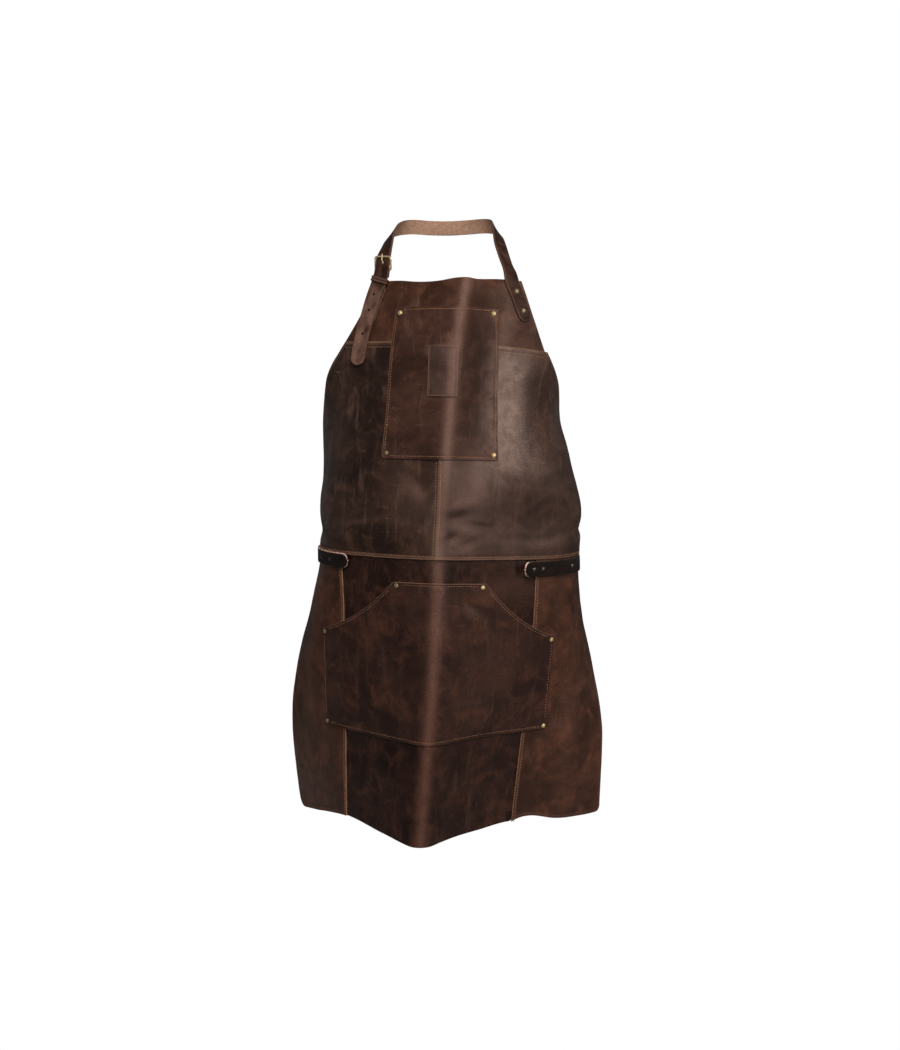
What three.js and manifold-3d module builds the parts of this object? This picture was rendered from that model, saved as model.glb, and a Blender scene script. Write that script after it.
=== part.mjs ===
import * as THREE from "three";
import { mergeVertices } from "three/addons/utils/BufferGeometryUtils.js";
import Module from "manifold-3d";

// A leather work apron in its worn form, in millimetres. +X is to the viewer's right, +Y to the
// wearer's back and +Z up. The origin is where the neck strap bears on the nape.

const wasm = await Module();
wasm.setup();
const { clamp, degToRad, lerp, smoothstep } = THREE.MathUtils;

// Leather thickness, and how the pieces are lapped
const PANEL_THICK = 1.8;
const STRAP_THICK = 2.6;
const SEAT_GAP = 0.65;
const LAYER = PANEL_THICK + SEAT_GAP;
const SEAM_LAP = 12;
const LAP_REACH = 20;
const LAP_RAMP = 16;
const CELL = 17;

// Cutting pattern: u runs across from the centre line, h is the height on the front ridge
const BIB_TOP = -83;
const YOKE_SEAM = -181;
const YOKE_SLOPE = 0.03;
const WAIST_SEAM = -476;
const HEM = -864;
const SKIRT_SEAM = 147;
const SKIRT_RIDGE = 2;

// Half width of the apron at each height
const halfWidths = [
  // h, half width
  [-83, 105],
  [-130, 130],
  [-181, 160],
  [-230, 202],
  [-270, 224],
  [-341, 262],
  [-410, 292],
  [-476, 304],
  [-864, 300],
];

// How far the hem rises above its lowest point across the skirt
const hemRises = [
  // u, rise
  [300, 8],
  [147, 12],
  [70, 6],
  [0, 0],
  [-70, 5],
  [-147, 9],
  [-300, -9],
];

// Worn form: at each height the front ridge stands at (x, y), ridgeU from the centre line, and the
// section leans by tilt. The other columns are how far each wing has turned back, in degrees, past
// the ridge, at the skirt seam and at the side edge.
const RIDGE_REACH = 18;
const SEAM_REACH = 150;
const EDGE_REACH = 315;
const LEAN = 0.02;
const sections = [
  // h, ridgeU, x, y, tilt, left ridge, left seam, left edge, right ridge, right seam, right edge
  [-83, 27, 25, -118, 8, 10, 36, 56, 12, 44, 70],
  [-130, 22, 17, -133, 6, 10, 34, 58, 12, 46, 78],
  [-200, 17, 8, -155, 2, 10, 36, 72, 12, 48, 92],
  [-270, 13, 1, -170, 0, 10, 41, 94, 12, 49, 110],
  [-341, 10, -5, -182, 0, 10, 44, 106, 10, 41, 110],
  [-410, 6, -11, -192, 0, 10, 44, 114, 10, 31, 108],
  [-476, 4, -16, -197, 0, 14, 44, 118, 12, 30, 108],
  [-560, 2, -19, -200, -1, 24, 41, 100, 20, 28, 98],
  [-650, 2, -24, -203, -2, 32, 42, 74, 28, 27, 74],
  [-740, 2, -31, -206, -3, 38, 46, 64, 36, 22, 54],
  [-864, 2, -40, -208, -3, 44, 52, 70, 46, 17, 46],
];

// Folds pressed into the leather: place, turn of the fold's line, its reach along and across, height
const folds = [
  // u, h, turn, along, across, height
  [215, -434, 6, 90, 13, -6],
  [190, -408, 8, 90, 18, 4],
  [-262, -436, -8, 60, 13, -5],
  [-240, -414, -6, 70, 18, 3],
  [28, -412, 40, 40, 20, -3],
  [228, -292, 80, 40, 26, -4],
  [225, -770, 86, 110, 34, 6],
  [-225, -640, 84, 120, 34, 4],
];

// Chest pocket and its bare patch
const CHEST_TOP = -129;
const CHEST_BOTTOM = -341;
const CHEST_HALF_TOP = 73;
const CHEST_HALF_BOTTOM = 82;
const CHEST_BULGE = 3;
const PATCH_LEFT = -21;
const PATCH_RIGHT = 19;
const PATCH_TOP = -185;
const PATCH_BOTTOM = -255;

// Hand pocket: a flat top, a scooped mouth on each side and a shallow point at the ridge
const HAND_TOP = -508;
const HAND_LEFT_CORNER = -58;
const HAND_RIGHT_CORNER = 70;
const HAND_LEFT = -190;
const HAND_RIGHT = 183;
const HAND_MOUTH_END = -587;
const MOUTH_SCOOP_ACROSS = 0.42;
const MOUTH_SCOOP_DOWN = 0.76;
const HAND_BOTTOM = -726;
const HAND_BOTTOM_SLOPE = 0.04;
const HAND_BULGE = 4;

// Rivets
const RIVET_RADIUS = 4;
const RIVET_DOME = 0.6;
const RIVET_SEAT = 0.3;
const BIB_RIVET_SEAT = 0.55;
const CHEST_RIVET_INSET = 7;
const HAND_RIVET_INSET = 5;

// Neck strap, buckle, keeper
const NECK_STRAP_WIDTH = 20;
const NECK_ON_YOKE = [
  // u, h
  [120, -141],
  [112, -127],
  [99, -100],
  [92, -88],
];
const neckRoute = [
  // x, y, z, and the direction its face looks
  [84, -103, -75, 0.33, -0.9, 0.3],
  [78, -91, -60, 0.35, -0.8, 0.5],
  [71, -76, -35, 0.45, -0.5, 0.74],
  [68, -55, -14, 0.65, -0.1, 0.76],
  [63, -34, -3, 0.85, 0.2, 0.48],
  [48, -14, 1, 0.75, 0.64, 0.15],
  [26, -2, 1, 0.35, 0.93, 0.05],
  [0, 1.6, 0, 0, 1, 0],
  [-28, -1, 0, -0.3, 0.95, 0.05],
  [-56, -12, 0, -0.65, 0.73, 0.2],
  [-76, -34, -6, -0.82, 0.2, 0.55],
  [-85, -57, -18, -0.55, -0.15, 0.82],
  [-90, -74, -36, -0.3, -0.62, 0.72],
  [-95, -84, -55, -0.2, -0.88, 0.42],
  [-101, -88, -80, -0.22, -0.95, 0.2],
];
const TAIL_ON_BIB = [
  // u, h
  [-118, -110],
  [-124, -141],
  [-131, -171],
  [-135, -207],
];
const TAIL_HOLES = [
  // distance of each hole from the tail's tip
  45, 79, 103,
];
const HOLE_RADIUS = 1.8;
const BUCKLE_HALF_WIDTH = 11.8;
const BUCKLE_REACH = 8.8;
const BUCKLE_WIRE = 1.4;
const BUCKLE_SQUARENESS = 0.3;
const BUCKLE_FROM_TIP = 160;
const KEEPER_FROM_TIP = 133;
const KEEPER_LENGTH = 6;
const KEEPER_WALL = 1.5;
const KEEPER_CORNER = 2;
const KEEPER_INNER_CORNER = 0.8;
const PRONG_RADIUS = 1;
const PRONG_LINE = [
  // up the strap, out from its middle
  [-4.2, -2.6],
  [0, 1.4],
  [4, 4.6],
  [9, 6.3],
  [12, 6.3],
];
const HEEL_FLAP = 10;
const BUCKLE_STRAP_WIDTH = 17;
const BUCKLE_STRAP_ON_YOKE = [
  // u, h
  [-114, -150],
  [-108, -122],
  [-103, -98],
];

// Rounded strap ends: rows along the rounding, and the short flat left at its tip
const ROUND_STEPS = [0, 0.08, 0.3, 0.62, 1];
const BLUNT_TIP = 0.5;

// Waist straps and the clasp that closes them behind
const WAIST_STRAP_WIDTH = 21;
const WAIST_RIGHT_H = -489.5;
const WAIST_LEFT_H = -484.5;
const WAIST_RIGHT_TIP = 124;
const WAIST_LEFT_TIP = -131;
const WAIST_STEP = 30;
const WAIST_GAP = 0.9;
const WAIST_RIVET_RADIUS = 3;
const leftRivets = [
  // name, distance from the strap's tip
  ["inner", 39],
  ["outer", 66],
];
const rightRivets = [
  // name, distance from the strap's tip
  ["inner", 18],
  ["middle", 33],
  ["outer", 100],
];
const waistBack = [
  // x, y, z, and the direction the face looks, on the right side
  [157, 55, -478, 0.78, 0.62, 0],
  [95, 92, -466, 0.35, 0.94, 0],
  [42, 102, -461, 0.08, 1, 0],
  [19, 103, -460, 0, 1, 0],
];
const CLASP_HALF_LENGTH = 18;
const CLASP_HALF_HEIGHT = 13;
const CLASP_THICK = 5;
const CLASP_CORNER = 4;

// Colours
const BROWN = 0x4a3226;
const BLACK_BROWN = 0x241c19;
const BLACK = 0x17130f;
const BRASS = 0xb08d4a;
const leather = (color) => new THREE.MeshStandardMaterial({ color, roughness: 0.6, metalness: 0 });
const brass = () => new THREE.MeshStandardMaterial({ color: BRASS, roughness: 0.35, metalness: 1 });

const apron = new THREE.Group();

function add(name, geometry, material) {
  const mesh = new THREE.Mesh(geometry, material);
  mesh.name = name;
  apron.add(mesh);
  return mesh;
}

// Smooth values at a key between the rows of a table whose first column falls
function between(rows, key) {
  const last = rows.length - 1;
  const held = clamp(key, rows[last][0], rows[0][0]);
  const i = Math.min(rows.findLastIndex((row) => held <= row[0]), last - 1);
  const span = rows[i][0] - rows[i + 1][0];
  const q = (rows[i][0] - held) / span;
  const slope = (row, c) => {
    const before = rows[Math.max(row - 1, 0)];
    const after = rows[Math.min(row + 1, last)];
    return (after[c] - before[c]) / (before[0] - after[0]);
  };
  return rows[i].map((value, c) => {
    const start = value * (1 + 2 * q) + slope(i, c) * span * q;
    const end = rows[i + 1][c] * (3 - 2 * q) + slope(i + 1, c) * span * (q - 1);
    return start * (1 - q) ** 2 + end * q ** 2;
  });
}

const halfWidth = (h) => between(halfWidths, h)[1];
const hemLine = (u) => HEM + between(hemRises, u)[1];
const yokeLine = (u) => YOKE_SEAM - YOKE_SLOPE * u;

// Height of the folds at a place on the pattern
function foldHeight(u, h) {
  let height = 0;
  for (const [foldU, foldH, turn, along, across, rise] of folds) {
    const cos = Math.cos(degToRad(turn));
    const sin = Math.sin(degToRad(turn));
    const du = u - foldU;
    const dh = h - foldH;
    const a = (du * cos + dh * sin) / along;
    const b = (dh * cos - du * sin) / across;
    height += rise * Math.exp(-a * a - b * b);
  }
  return height;
}

// One wing of a section: across, depth and heading after a walk of s from the ridge
function wing(s, turns) {
  const reaches = [0, RIDGE_REACH, SEAM_REACH, EDGE_REACH];
  const headings = [0, ...turns].map(degToRad);
  let across = 0;
  let depth = 0;
  let heading = 0;
  for (let i = 0; i < 3 && (i === 0 || s > reaches[i]); i += 1) {
    const bend = (headings[i + 1] - headings[i]) / (reaches[i + 1] - reaches[i]) || 1e-6;
    const walk = i === 2 ? s - reaches[2] : Math.min(s, reaches[i + 1]) - reaches[i];
    heading = headings[i] + bend * walk;
    across += (Math.sin(heading) - Math.sin(headings[i])) / bend;
    depth += (Math.cos(headings[i]) - Math.cos(heading)) / bend;
  }
  return { across, depth, heading };
}

// Point of the worn leather at a place on the pattern
function base(u, h) {
  const [, ridgeU, x, y, tilt, ...turns] = between(sections, h);
  const side = u < ridgeU ? -1 : 1;
  const { across, depth } = wing(Math.abs(u - ridgeU), side < 0 ? turns.slice(0, 3) : turns.slice(3));
  const back = new THREE.Vector3(0, Math.cos(degToRad(tilt)), -Math.sin(degToRad(tilt)));
  const point = new THREE.Vector3(x + side * across, y, h).addScaledVector(back, depth);
  point.z -= LEAN * point.x;
  return point;
}

// Point and outward normal at a place on the pattern, lifted off the leather's inner face
function worn(u, h, lift = 0) {
  const acrossIt = base(u + 1, h).sub(base(u - 1, h));
  const upIt = base(u, h + 1).sub(base(u, h - 1));
  const normal = acrossIt.cross(upIt).normalize();
  const point = base(u, h).addScaledVector(normal, lift + foldHeight(u, h));
  return { point, normal };
}

const steps = (count) => Array.from({ length: count + 1 }, (_, i) => i / count);

// Places across the skirt, a cell apart and closer together over the ridge
function overRidge(left, right) {
  const ridge = [-1, -0.5, 0, 0.5, 1].map((t) => SKIRT_RIDGE + t * RIDGE_REACH);
  const spread = (from, to) => steps(Math.ceil((to - from) / CELL)).map((t) => lerp(from, to, t));
  return [...spread(left, ridge[0]).slice(0, -1), ...ridge, ...spread(ridge[4], right).slice(1)];
}

// A closed wall from a grid of places, each with an inner (0) and an outer (1) skin
function wall(columns, rows, place) {
  const positions = [];
  const index = [];
  const wide = columns.length;
  const tall = rows.length;
  for (const skin of [0, 1]) {
    for (const b of rows) {
      for (const a of columns) {
        positions.push(...place(a, b, skin).toArray());
      }
    }
  }
  const at = (skin, i, j) => (skin * tall + j) * wide + i;
  const quad = (p, q, r, s) => index.push(p, q, r, p, r, s);
  const rim = (i, j, k, l) => quad(at(1, k, l), at(1, i, j), at(0, i, j), at(0, k, l));
  for (let j = 0; j < tall - 1; j += 1) {
    for (let i = 0; i < wide - 1; i += 1) {
      quad(at(1, i, j), at(1, i, j + 1), at(1, i + 1, j + 1), at(1, i + 1, j));
      index.push(at(0, i, j), at(0, i + 1, j + 1), at(0, i, j + 1));
      index.push(at(0, i, j), at(0, i + 1, j), at(0, i + 1, j + 1));
    }
  }
  for (let j = 0; j < tall - 1; j += 1) {
    rim(0, j, 0, j + 1);
    rim(wide - 1, j + 1, wide - 1, j);
  }
  for (let i = 0; i < wide - 1; i += 1) {
    rim(i, tall - 1, i + 1, tall - 1);
    rim(i + 1, 0, i, 0);
  }
  const geometry = new THREE.BufferGeometry();
  geometry.setAttribute("position", new THREE.Float32BufferAttribute(positions, 3));
  geometry.setIndex(index);
  return geometry;
}

// A flat piece of leather laid on the worn form between four edges of the pattern
function panel(name, { left, right, top, bottom, lift, columns, tall }) {
  const middle = (left(WAIST_SEAM) + right(WAIST_SEAM)) / 2;
  const place = (a, b, skin) => {
    const level = lerp(top(middle), bottom(middle), b);
    const u = lerp(left(level), right(level), a);
    const h = lerp(top(u), bottom(u), b);
    return worn(u, h, lift(u, h) + skin * PANEL_THICK).point;
  };
  add(name, wall(columns, steps(tall), place), leather(BROWN));
}

// Lifts: each panel is raised where it laps another and settles past the lap
const settle = (distance) => 1 - smoothstep(distance, 0, LAP_RAMP);
const sideLift = (u) => LAYER * settle(Math.abs(u) - SKIRT_SEAM - LAP_REACH);
const skirtLift = (u) => (Math.abs(u) < SKIRT_SEAM ? 0 : sideLift(u));
const skirtRise = (u) => Math.max(skirtLift(u - CELL), skirtLift(u), skirtLift(u + CELL));

function bibLift(u, h) {
  const overYoke = LAYER * settle(yokeLine(u) - LAP_REACH - h);
  const overSkirt = (LAYER + skirtRise(u)) * settle(h - WAIST_SEAM - LAP_REACH);
  return overYoke + overSkirt;
}

const rightBibLift = (u, h) => bibLift(u, h) + LAYER * settle(u - LAP_REACH);

// Outer face of the topmost panel at a place, and of the highest within one cell of it
function topFace(u, h) {
  if (h < WAIST_SEAM) {
    return skirtLift(u) + PANEL_THICK;
  }
  if (h > yokeLine(u)) {
    return PANEL_THICK;
  }
  return (u < 0 ? bibLift(u, h) : rightBibLift(u, h)) + PANEL_THICK;
}

function highestFace(u, h) {
  const around = [-CELL, 0, CELL];
  return Math.max(...around.flatMap((du) => around.map((dh) => topFace(u + du, h + dh))));
}

// Yoke, the two bib panels lapped over it, and the three skirt panels under the bib
panel("yoke", {
  left: (h) => -halfWidth(h),
  right: halfWidth,
  top: () => BIB_TOP,
  bottom: (u) => yokeLine(u) - SEAM_LAP,
  lift: () => 0,
  columns: steps(18),
  tall: 7,
});
panel("bib_left", {
  left: (h) => -halfWidth(h),
  right: () => SEAM_LAP,
  top: yokeLine,
  bottom: () => WAIST_SEAM,
  lift: bibLift,
  columns: steps(18),
  tall: 15,
});
panel("bib_right", {
  left: () => 0,
  right: halfWidth,
  top: yokeLine,
  bottom: () => WAIST_SEAM,
  lift: rightBibLift,
  columns: steps(18),
  tall: 15,
});
const CENTER_HALF = SKIRT_SEAM + SEAM_LAP;
panel("skirt_center", {
  left: () => -CENTER_HALF,
  right: () => CENTER_HALF,
  top: () => WAIST_SEAM + SEAM_LAP,
  bottom: hemLine,
  lift: () => 0,
  columns: overRidge(-CENTER_HALF, CENTER_HALF).map((u) => (u + CENTER_HALF) / (2 * CENTER_HALF)),
  tall: 17,
});
panel("skirt_left", {
  left: (h) => -halfWidth(h),
  right: () => -SKIRT_SEAM,
  top: () => WAIST_SEAM + SEAM_LAP,
  bottom: hemLine,
  lift: sideLift,
  columns: steps(10),
  tall: 17,
});
panel("skirt_right", {
  left: () => SKIRT_SEAM,
  right: halfWidth,
  top: () => WAIST_SEAM + SEAM_LAP,
  bottom: hemLine,
  lift: sideLift,
  columns: steps(10),
  tall: 17,
});

// Chest pocket, flat at its sewn edges and slightly full at its open top
const chestDown = (h) => clamp((CHEST_TOP - h) / (CHEST_TOP - CHEST_BOTTOM), 0, 1);
const chestHalf = (h) => lerp(CHEST_HALF_TOP, CHEST_HALF_BOTTOM, chestDown(h));

// The pocket rides over the lap of the yoke seam and over the lap of the bib's centre seam
function chestLift(u, h) {
  const fullAcross = Math.cos((Math.PI / 2) * clamp(u / chestHalf(h), -1, 1));
  const fullDown = 1 - chestDown(h) ** 2;
  const below = yokeLine(u) - h;
  const overYokeSeam = smoothstep(below, -3 * CELL, -CELL) * (1 - smoothstep(below, 2 * CELL, 4 * CELL));
  const overCenterSeam = smoothstep(u, -3 * CELL, -CELL) * (1 - smoothstep(u, 2 * CELL, 4 * CELL));
  const bibOnly = smoothstep(below, -2 * CELL, 0);
  const seams = LAYER * (overYokeSeam + overCenterSeam * bibOnly);
  return LAYER + seams + CHEST_BULGE * fullAcross * fullDown;
}

panel("chest_pocket", {
  left: (h) => -chestHalf(h),
  right: chestHalf,
  top: () => CHEST_TOP,
  bottom: () => CHEST_BOTTOM,
  lift: chestLift,
  columns: steps(10),
  tall: 13,
});
panel("chest_patch", {
  left: () => PATCH_LEFT,
  right: () => PATCH_RIGHT,
  top: () => PATCH_TOP,
  bottom: () => PATCH_BOTTOM,
  lift: (u, h) => chestLift(u, h) + LAYER,
  columns: steps(3),
  tall: 5,
});

// Hand pocket, with the height of its upper edge read off the two mouth curves
function mouth(corner, end) {
  const scoop = new THREE.Vector2(
    lerp(corner, end, MOUTH_SCOOP_ACROSS),
    lerp(HAND_TOP, HAND_MOUTH_END, MOUTH_SCOOP_DOWN),
  );
  const from = new THREE.Vector2(corner, HAND_TOP);
  const to = new THREE.Vector2(end, HAND_MOUTH_END);
  return new THREE.QuadraticBezierCurve(from, scoop, to);
}

const leftMouth = mouth(HAND_LEFT_CORNER, HAND_LEFT);
const rightMouth = mouth(HAND_RIGHT_CORNER, HAND_RIGHT);

// Places across the hand pocket, with a column at each corner of its upper edge
function handColumns(count) {
  const left = steps(count).map((t) => leftMouth.getPoint(1 - t).x);
  const right = steps(count).map((t) => rightMouth.getPoint(t).x);
  return [...left, ...overRidge(HAND_LEFT_CORNER, HAND_RIGHT_CORNER).slice(1, -1), ...right];
}

function handUpper(u) {
  const curve = u < 0 ? leftMouth : rightMouth;
  if (u > HAND_LEFT_CORNER && u < HAND_RIGHT_CORNER) {
    return HAND_TOP;
  }
  const points = curve.getPoints(CELL);
  const far = points.findIndex((point) => Math.abs(point.x) >= Math.abs(u) - 1e-6);
  const next = points[Math.max(far, 1)];
  const near = points[Math.max(far, 1) - 1];
  return lerp(near.y, next.y, (u - near.x) / (next.x - near.x));
}

const handLower = (u) => HAND_BOTTOM + HAND_BOTTOM_SLOPE * Math.max(u, u / 3);

function handLift(u, h) {
  const half = u < 0 ? HAND_LEFT : HAND_RIGHT;
  const fullAcross = Math.sin(Math.PI * clamp(u / half, 0, 1));
  const fullDown = 1 - clamp((HAND_TOP - h) / (HAND_TOP - HAND_BOTTOM), 0, 1) ** 2;
  return highestFace(u, h) + SEAT_GAP + HAND_BULGE * fullAcross * fullDown;
}

function handPocket() {
  const place = (u, b, skin) => {
    const h = lerp(handUpper(u), handLower(u), b);
    return worn(u, h, handLift(u, h) + skin * PANEL_THICK).point;
  };
  add("hand_pocket", wall(handColumns(7), steps(11), place), leather(BROWN));
}

handPocket();

// Stand a piece on a point, its own +Z along the normal and its +Y as near up as it goes
function stand(mesh, point, normal, up = new THREE.Vector3(0, 0, 1)) {
  const out = normal.clone().normalize();
  const across = new THREE.Vector3().crossVectors(up, out).normalize();
  const along = new THREE.Vector3().crossVectors(out, across);
  mesh.quaternion.setFromRotationMatrix(new THREE.Matrix4().makeBasis(across, along, out));
  mesh.position.copy(point);
  return mesh;
}

// Domed rivet cap, its foot in the XY plane
function rivetCap(radius = RIVET_RADIUS) {
  const rise = radius * RIVET_DOME;
  const profile = [
    new THREE.Vector2(0, 0),
    new THREE.Vector2(radius, 0),
    new THREE.Vector2(radius, rise / 4),
    new THREE.Vector2(radius * 0.7, rise * 0.8),
    new THREE.Vector2(0, rise),
  ];
  return new THREE.LatheGeometry(profile, 10).rotateX(Math.PI / 2);
}

function rivet(name, u, h, foot, gap = RIVET_SEAT) {
  const seat = worn(u, h, foot + gap);
  stand(add(name, rivetCap(), brass()), seat.point, seat.normal);
}

const chestFace = (u, h) => chestLift(u, h) + PANEL_THICK;
const handFace = (u, h) => handLift(u, h) + PANEL_THICK;
const chestRivets = [
  ["chest_rivet_upper_left", -CHEST_HALF_TOP + CHEST_RIVET_INSET, CHEST_TOP - CHEST_RIVET_INSET],
  ["chest_rivet_upper_right", CHEST_HALF_TOP - CHEST_RIVET_INSET, CHEST_TOP - CHEST_RIVET_INSET],
  ["chest_rivet_lower_left", -CHEST_HALF_BOTTOM + CHEST_RIVET_INSET, CHEST_BOTTOM + CHEST_RIVET_INSET],
  ["chest_rivet_lower_right", CHEST_HALF_BOTTOM - CHEST_RIVET_INSET, CHEST_BOTTOM + CHEST_RIVET_INSET],
];
for (const [name, u, h] of chestRivets) {
  rivet(name, u, h, chestFace(u, h), BIB_RIVET_SEAT);
}
const handRivets = [
  ["hand_rivet_upper_left", HAND_LEFT_CORNER + HAND_RIVET_INSET, HAND_TOP - HAND_RIVET_INSET],
  ["hand_rivet_upper_right", HAND_RIGHT_CORNER - HAND_RIVET_INSET, HAND_TOP - HAND_RIVET_INSET],
  ["hand_rivet_mouth_left", HAND_LEFT + HAND_RIVET_INSET, HAND_MOUTH_END - HAND_RIVET_INSET],
  ["hand_rivet_mouth_right", HAND_RIGHT - HAND_RIVET_INSET, HAND_MOUTH_END - HAND_RIVET_INSET],
  ["hand_rivet_lower_left", HAND_LEFT + HAND_RIVET_INSET, handLower(HAND_LEFT) + HAND_RIVET_INSET],
  ["hand_rivet_lower_right", HAND_RIGHT - HAND_RIVET_INSET, handLower(HAND_RIGHT) + HAND_RIVET_INSET],
];
for (const [name, u, h] of handRivets) {
  rivet(name, u, h, handFace(u, h));
}

// A strap's route: a smooth line through stations, each with the direction its face looks
class Route {
  constructor(stations) {
    this.line = new THREE.CatmullRomCurve3(stations.map((station) => station.point), false, "centripetal");
    this.faces = new THREE.CatmullRomCurve3(stations.map((station) => station.normal), false, "centripetal");
    this.length = this.line.getLength();
  }

  // Place, direction along, outward face and direction across at a distance from the start
  frame(distance) {
    const fraction = clamp(distance / this.length, 0, 1);
    const point = this.line.getPointAt(fraction);
    const along = this.line.getTangentAt(fraction);
    const out = this.faces.getPoint(this.line.getUtoTmapping(fraction));
    out.addScaledVector(along, -out.dot(along)).normalize();
    return { point, along, out, across: new THREE.Vector3().crossVectors(out, along) };
  }
}

const station = ([x, y, z, nx, ny, nz]) => ({
  point: new THREE.Vector3(x, y, z),
  normal: new THREE.Vector3(nx, ny, nz).normalize(),
});
const onLeather = (lift) => ([u, h]) => worn(u, h, lift);

// A strap along a route, each end either square or rounded
function strap(route, width, { roundStart = false, roundEnd = false, step = CELL } = {}) {
  const radius = width / 2;
  const tip = ROUND_STEPS.map((t) => t * radius);
  const from = roundStart ? radius : 0;
  const to = route.length - (roundEnd ? radius : 0);
  const body = steps(Math.ceil((to - from) / step)).map((t) => lerp(from, to, t));
  const rows = [
    ...(roundStart ? tip.slice(0, -1) : []),
    ...body,
    ...(roundEnd ? tip.slice(0, -1).map((s) => route.length - s).reverse() : []),
  ];
  const half = (distance) => {
    const left = Math.min(roundStart ? distance : radius, roundEnd ? route.length - distance : radius);
    const short = radius - clamp(left, BLUNT_TIP, radius);
    return Math.sqrt(radius ** 2 - short ** 2);
  };
  return wall([-1, 0, 1], rows, (a, distance, skin) => {
    const { point, out, across } = route.frame(distance);
    point.addScaledVector(across, a * half(distance));
    return point.addScaledVector(out, (skin - 0.5) * STRAP_THICK);
  });
}

// Cut one closed geometry out of another
function solid(geometry) {
  const bare = geometry.clone();
  bare.deleteAttribute("normal");
  bare.deleteAttribute("uv");
  const merged = mergeVertices(bare, 1e-4);
  const mesh = new wasm.Mesh({
    numProp: 3,
    vertProperties: new Float32Array(merged.attributes.position.array),
    triVerts: new Uint32Array(merged.index.array),
  });
  return new wasm.Manifold(mesh);
}

function cut(geometry, tools) {
  const result = tools.reduce((left, tool) => left.subtract(solid(tool)), solid(geometry)).getMesh();
  const shape = new THREE.BufferGeometry();
  shape.setAttribute("position", new THREE.Float32BufferAttribute(result.vertProperties, 3));
  shape.setIndex([...result.triVerts]);
  return shape;
}

// Round bar along a line of points
function bar(points, radius) {
  const section = new THREE.Shape().absarc(0, 0, radius, 0, Math.PI * 2);
  const extrudePath = new THREE.CatmullRomCurve3(points);
  return new THREE.ExtrudeGeometry(section, { extrudePath, steps: 8, curveSegments: 4, bevelEnabled: false });
}

// Neck strap: riveted on the right of the yoke, round the neck and down to its tail on the left
const STRAP_SEAT = PANEL_THICK + SEAT_GAP + STRAP_THICK / 2;
const TAIL_SEAT = STRAP_SEAT + STRAP_THICK + 3 * SEAT_GAP;
const tailSeat = ([u, h]) => worn(u, h, highestFace(u, h) - PANEL_THICK + TAIL_SEAT);
const neck = new Route([
  ...NECK_ON_YOKE.map(onLeather(STRAP_SEAT + SEAT_GAP / 2)),
  ...neckRoute.map(station),
  ...TAIL_ON_BIB.map(tailSeat),
]);
const fromTip = (distance) => neck.frame(neck.length - distance);

// Buckle frame: a wire ring drawn out to a rounded rectangle. Its upper bar lies in front of the
// strap and its lower bar behind the strap and the turned end of the buckle strap.
const buckleSeat = fromTip(BUCKLE_FROM_TIP);
const buckleUp = buckleSeat.along.clone().negate();
const buckleBar = (reach, out) => {
  const seat = fromTip(BUCKLE_FROM_TIP + reach);
  return seat.point.addScaledVector(seat.out, out);
};
const toe = buckleBar(BUCKLE_REACH, STRAP_THICK / 2 + SEAT_GAP + BUCKLE_WIRE);
const heel = buckleBar(-BUCKLE_REACH, -STRAP_THICK * 1.5 - SEAT_GAP * 3 - BUCKLE_WIRE);
const ringUp = toe.clone().sub(heel);
const ringHalfHeight = ringUp.length() / 2;
const ringOut = new THREE.Vector3().crossVectors(buckleSeat.across, ringUp).normalize();
const ringCenter = toe.clone().add(heel).divideScalar(2);

function buckleRing() {
  const ring = new THREE.TorusGeometry(BUCKLE_HALF_WIDTH, BUCKLE_WIRE, 6, 24);
  const place = ring.attributes.position;
  const square = (value) => Math.sign(value) * Math.abs(value) ** BUCKLE_SQUARENESS;
  for (let i = 0; i < place.count; i += 1) {
    const radius = Math.hypot(place.getX(i), place.getY(i));
    const cos = Number((place.getX(i) / radius).toFixed(4));
    const sin = Number((place.getY(i) / radius).toFixed(4));
    const out = radius - BUCKLE_HALF_WIDTH;
    place.setXY(i, BUCKLE_HALF_WIDTH * square(cos) + out * cos, ringHalfHeight * square(sin) + out * sin);
  }
  return ring;
}

stand(add("buckle_frame", buckleRing(), brass()), ringCenter, ringOut, ringUp);

// Prong: from behind the strap up through its hole, lying over the upper bar
const prongPoint = (up, out) =>
  buckleSeat.point.clone().addScaledVector(buckleUp, up).addScaledVector(buckleSeat.out, out);
const prongLine = PRONG_LINE.map(([up, out]) => prongPoint(up, out));
add("buckle_prong", bar(prongLine, PRONG_RADIUS), brass());

function punch(distance) {
  const { point, out, along } = fromTip(distance);
  const pin = new THREE.CylinderGeometry(HOLE_RADIUS, HOLE_RADIUS, STRAP_THICK * 3, 8).rotateX(Math.PI / 2);
  const mesh = stand(new THREE.Mesh(pin), point, out, along);
  mesh.updateMatrix();
  return pin.applyMatrix4(mesh.matrix);
}

const neckBand = strap(neck, NECK_STRAP_WIDTH, { roundStart: true, roundEnd: true });
const prongSlot = bar(prongLine, PRONG_RADIUS + SEAT_GAP);
add("neck_strap", cut(neckBand, [prongSlot, ...TAIL_HOLES.map(punch)]), leather(BROWN));

// Buckle strap: riveted on the left of the yoke under the tail, turned over the buckle's lower bar
const HEEL_TURN = BUCKLE_WIRE + SEAT_GAP + STRAP_THICK / 2;

function heelStation(angle) {
  const normal = buckleSeat.out.clone().multiplyScalar(Math.cos(angle));
  normal.addScaledVector(buckleUp, Math.sin(angle));
  return { point: heel.clone().addScaledVector(normal, HEEL_TURN), normal };
}

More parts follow.
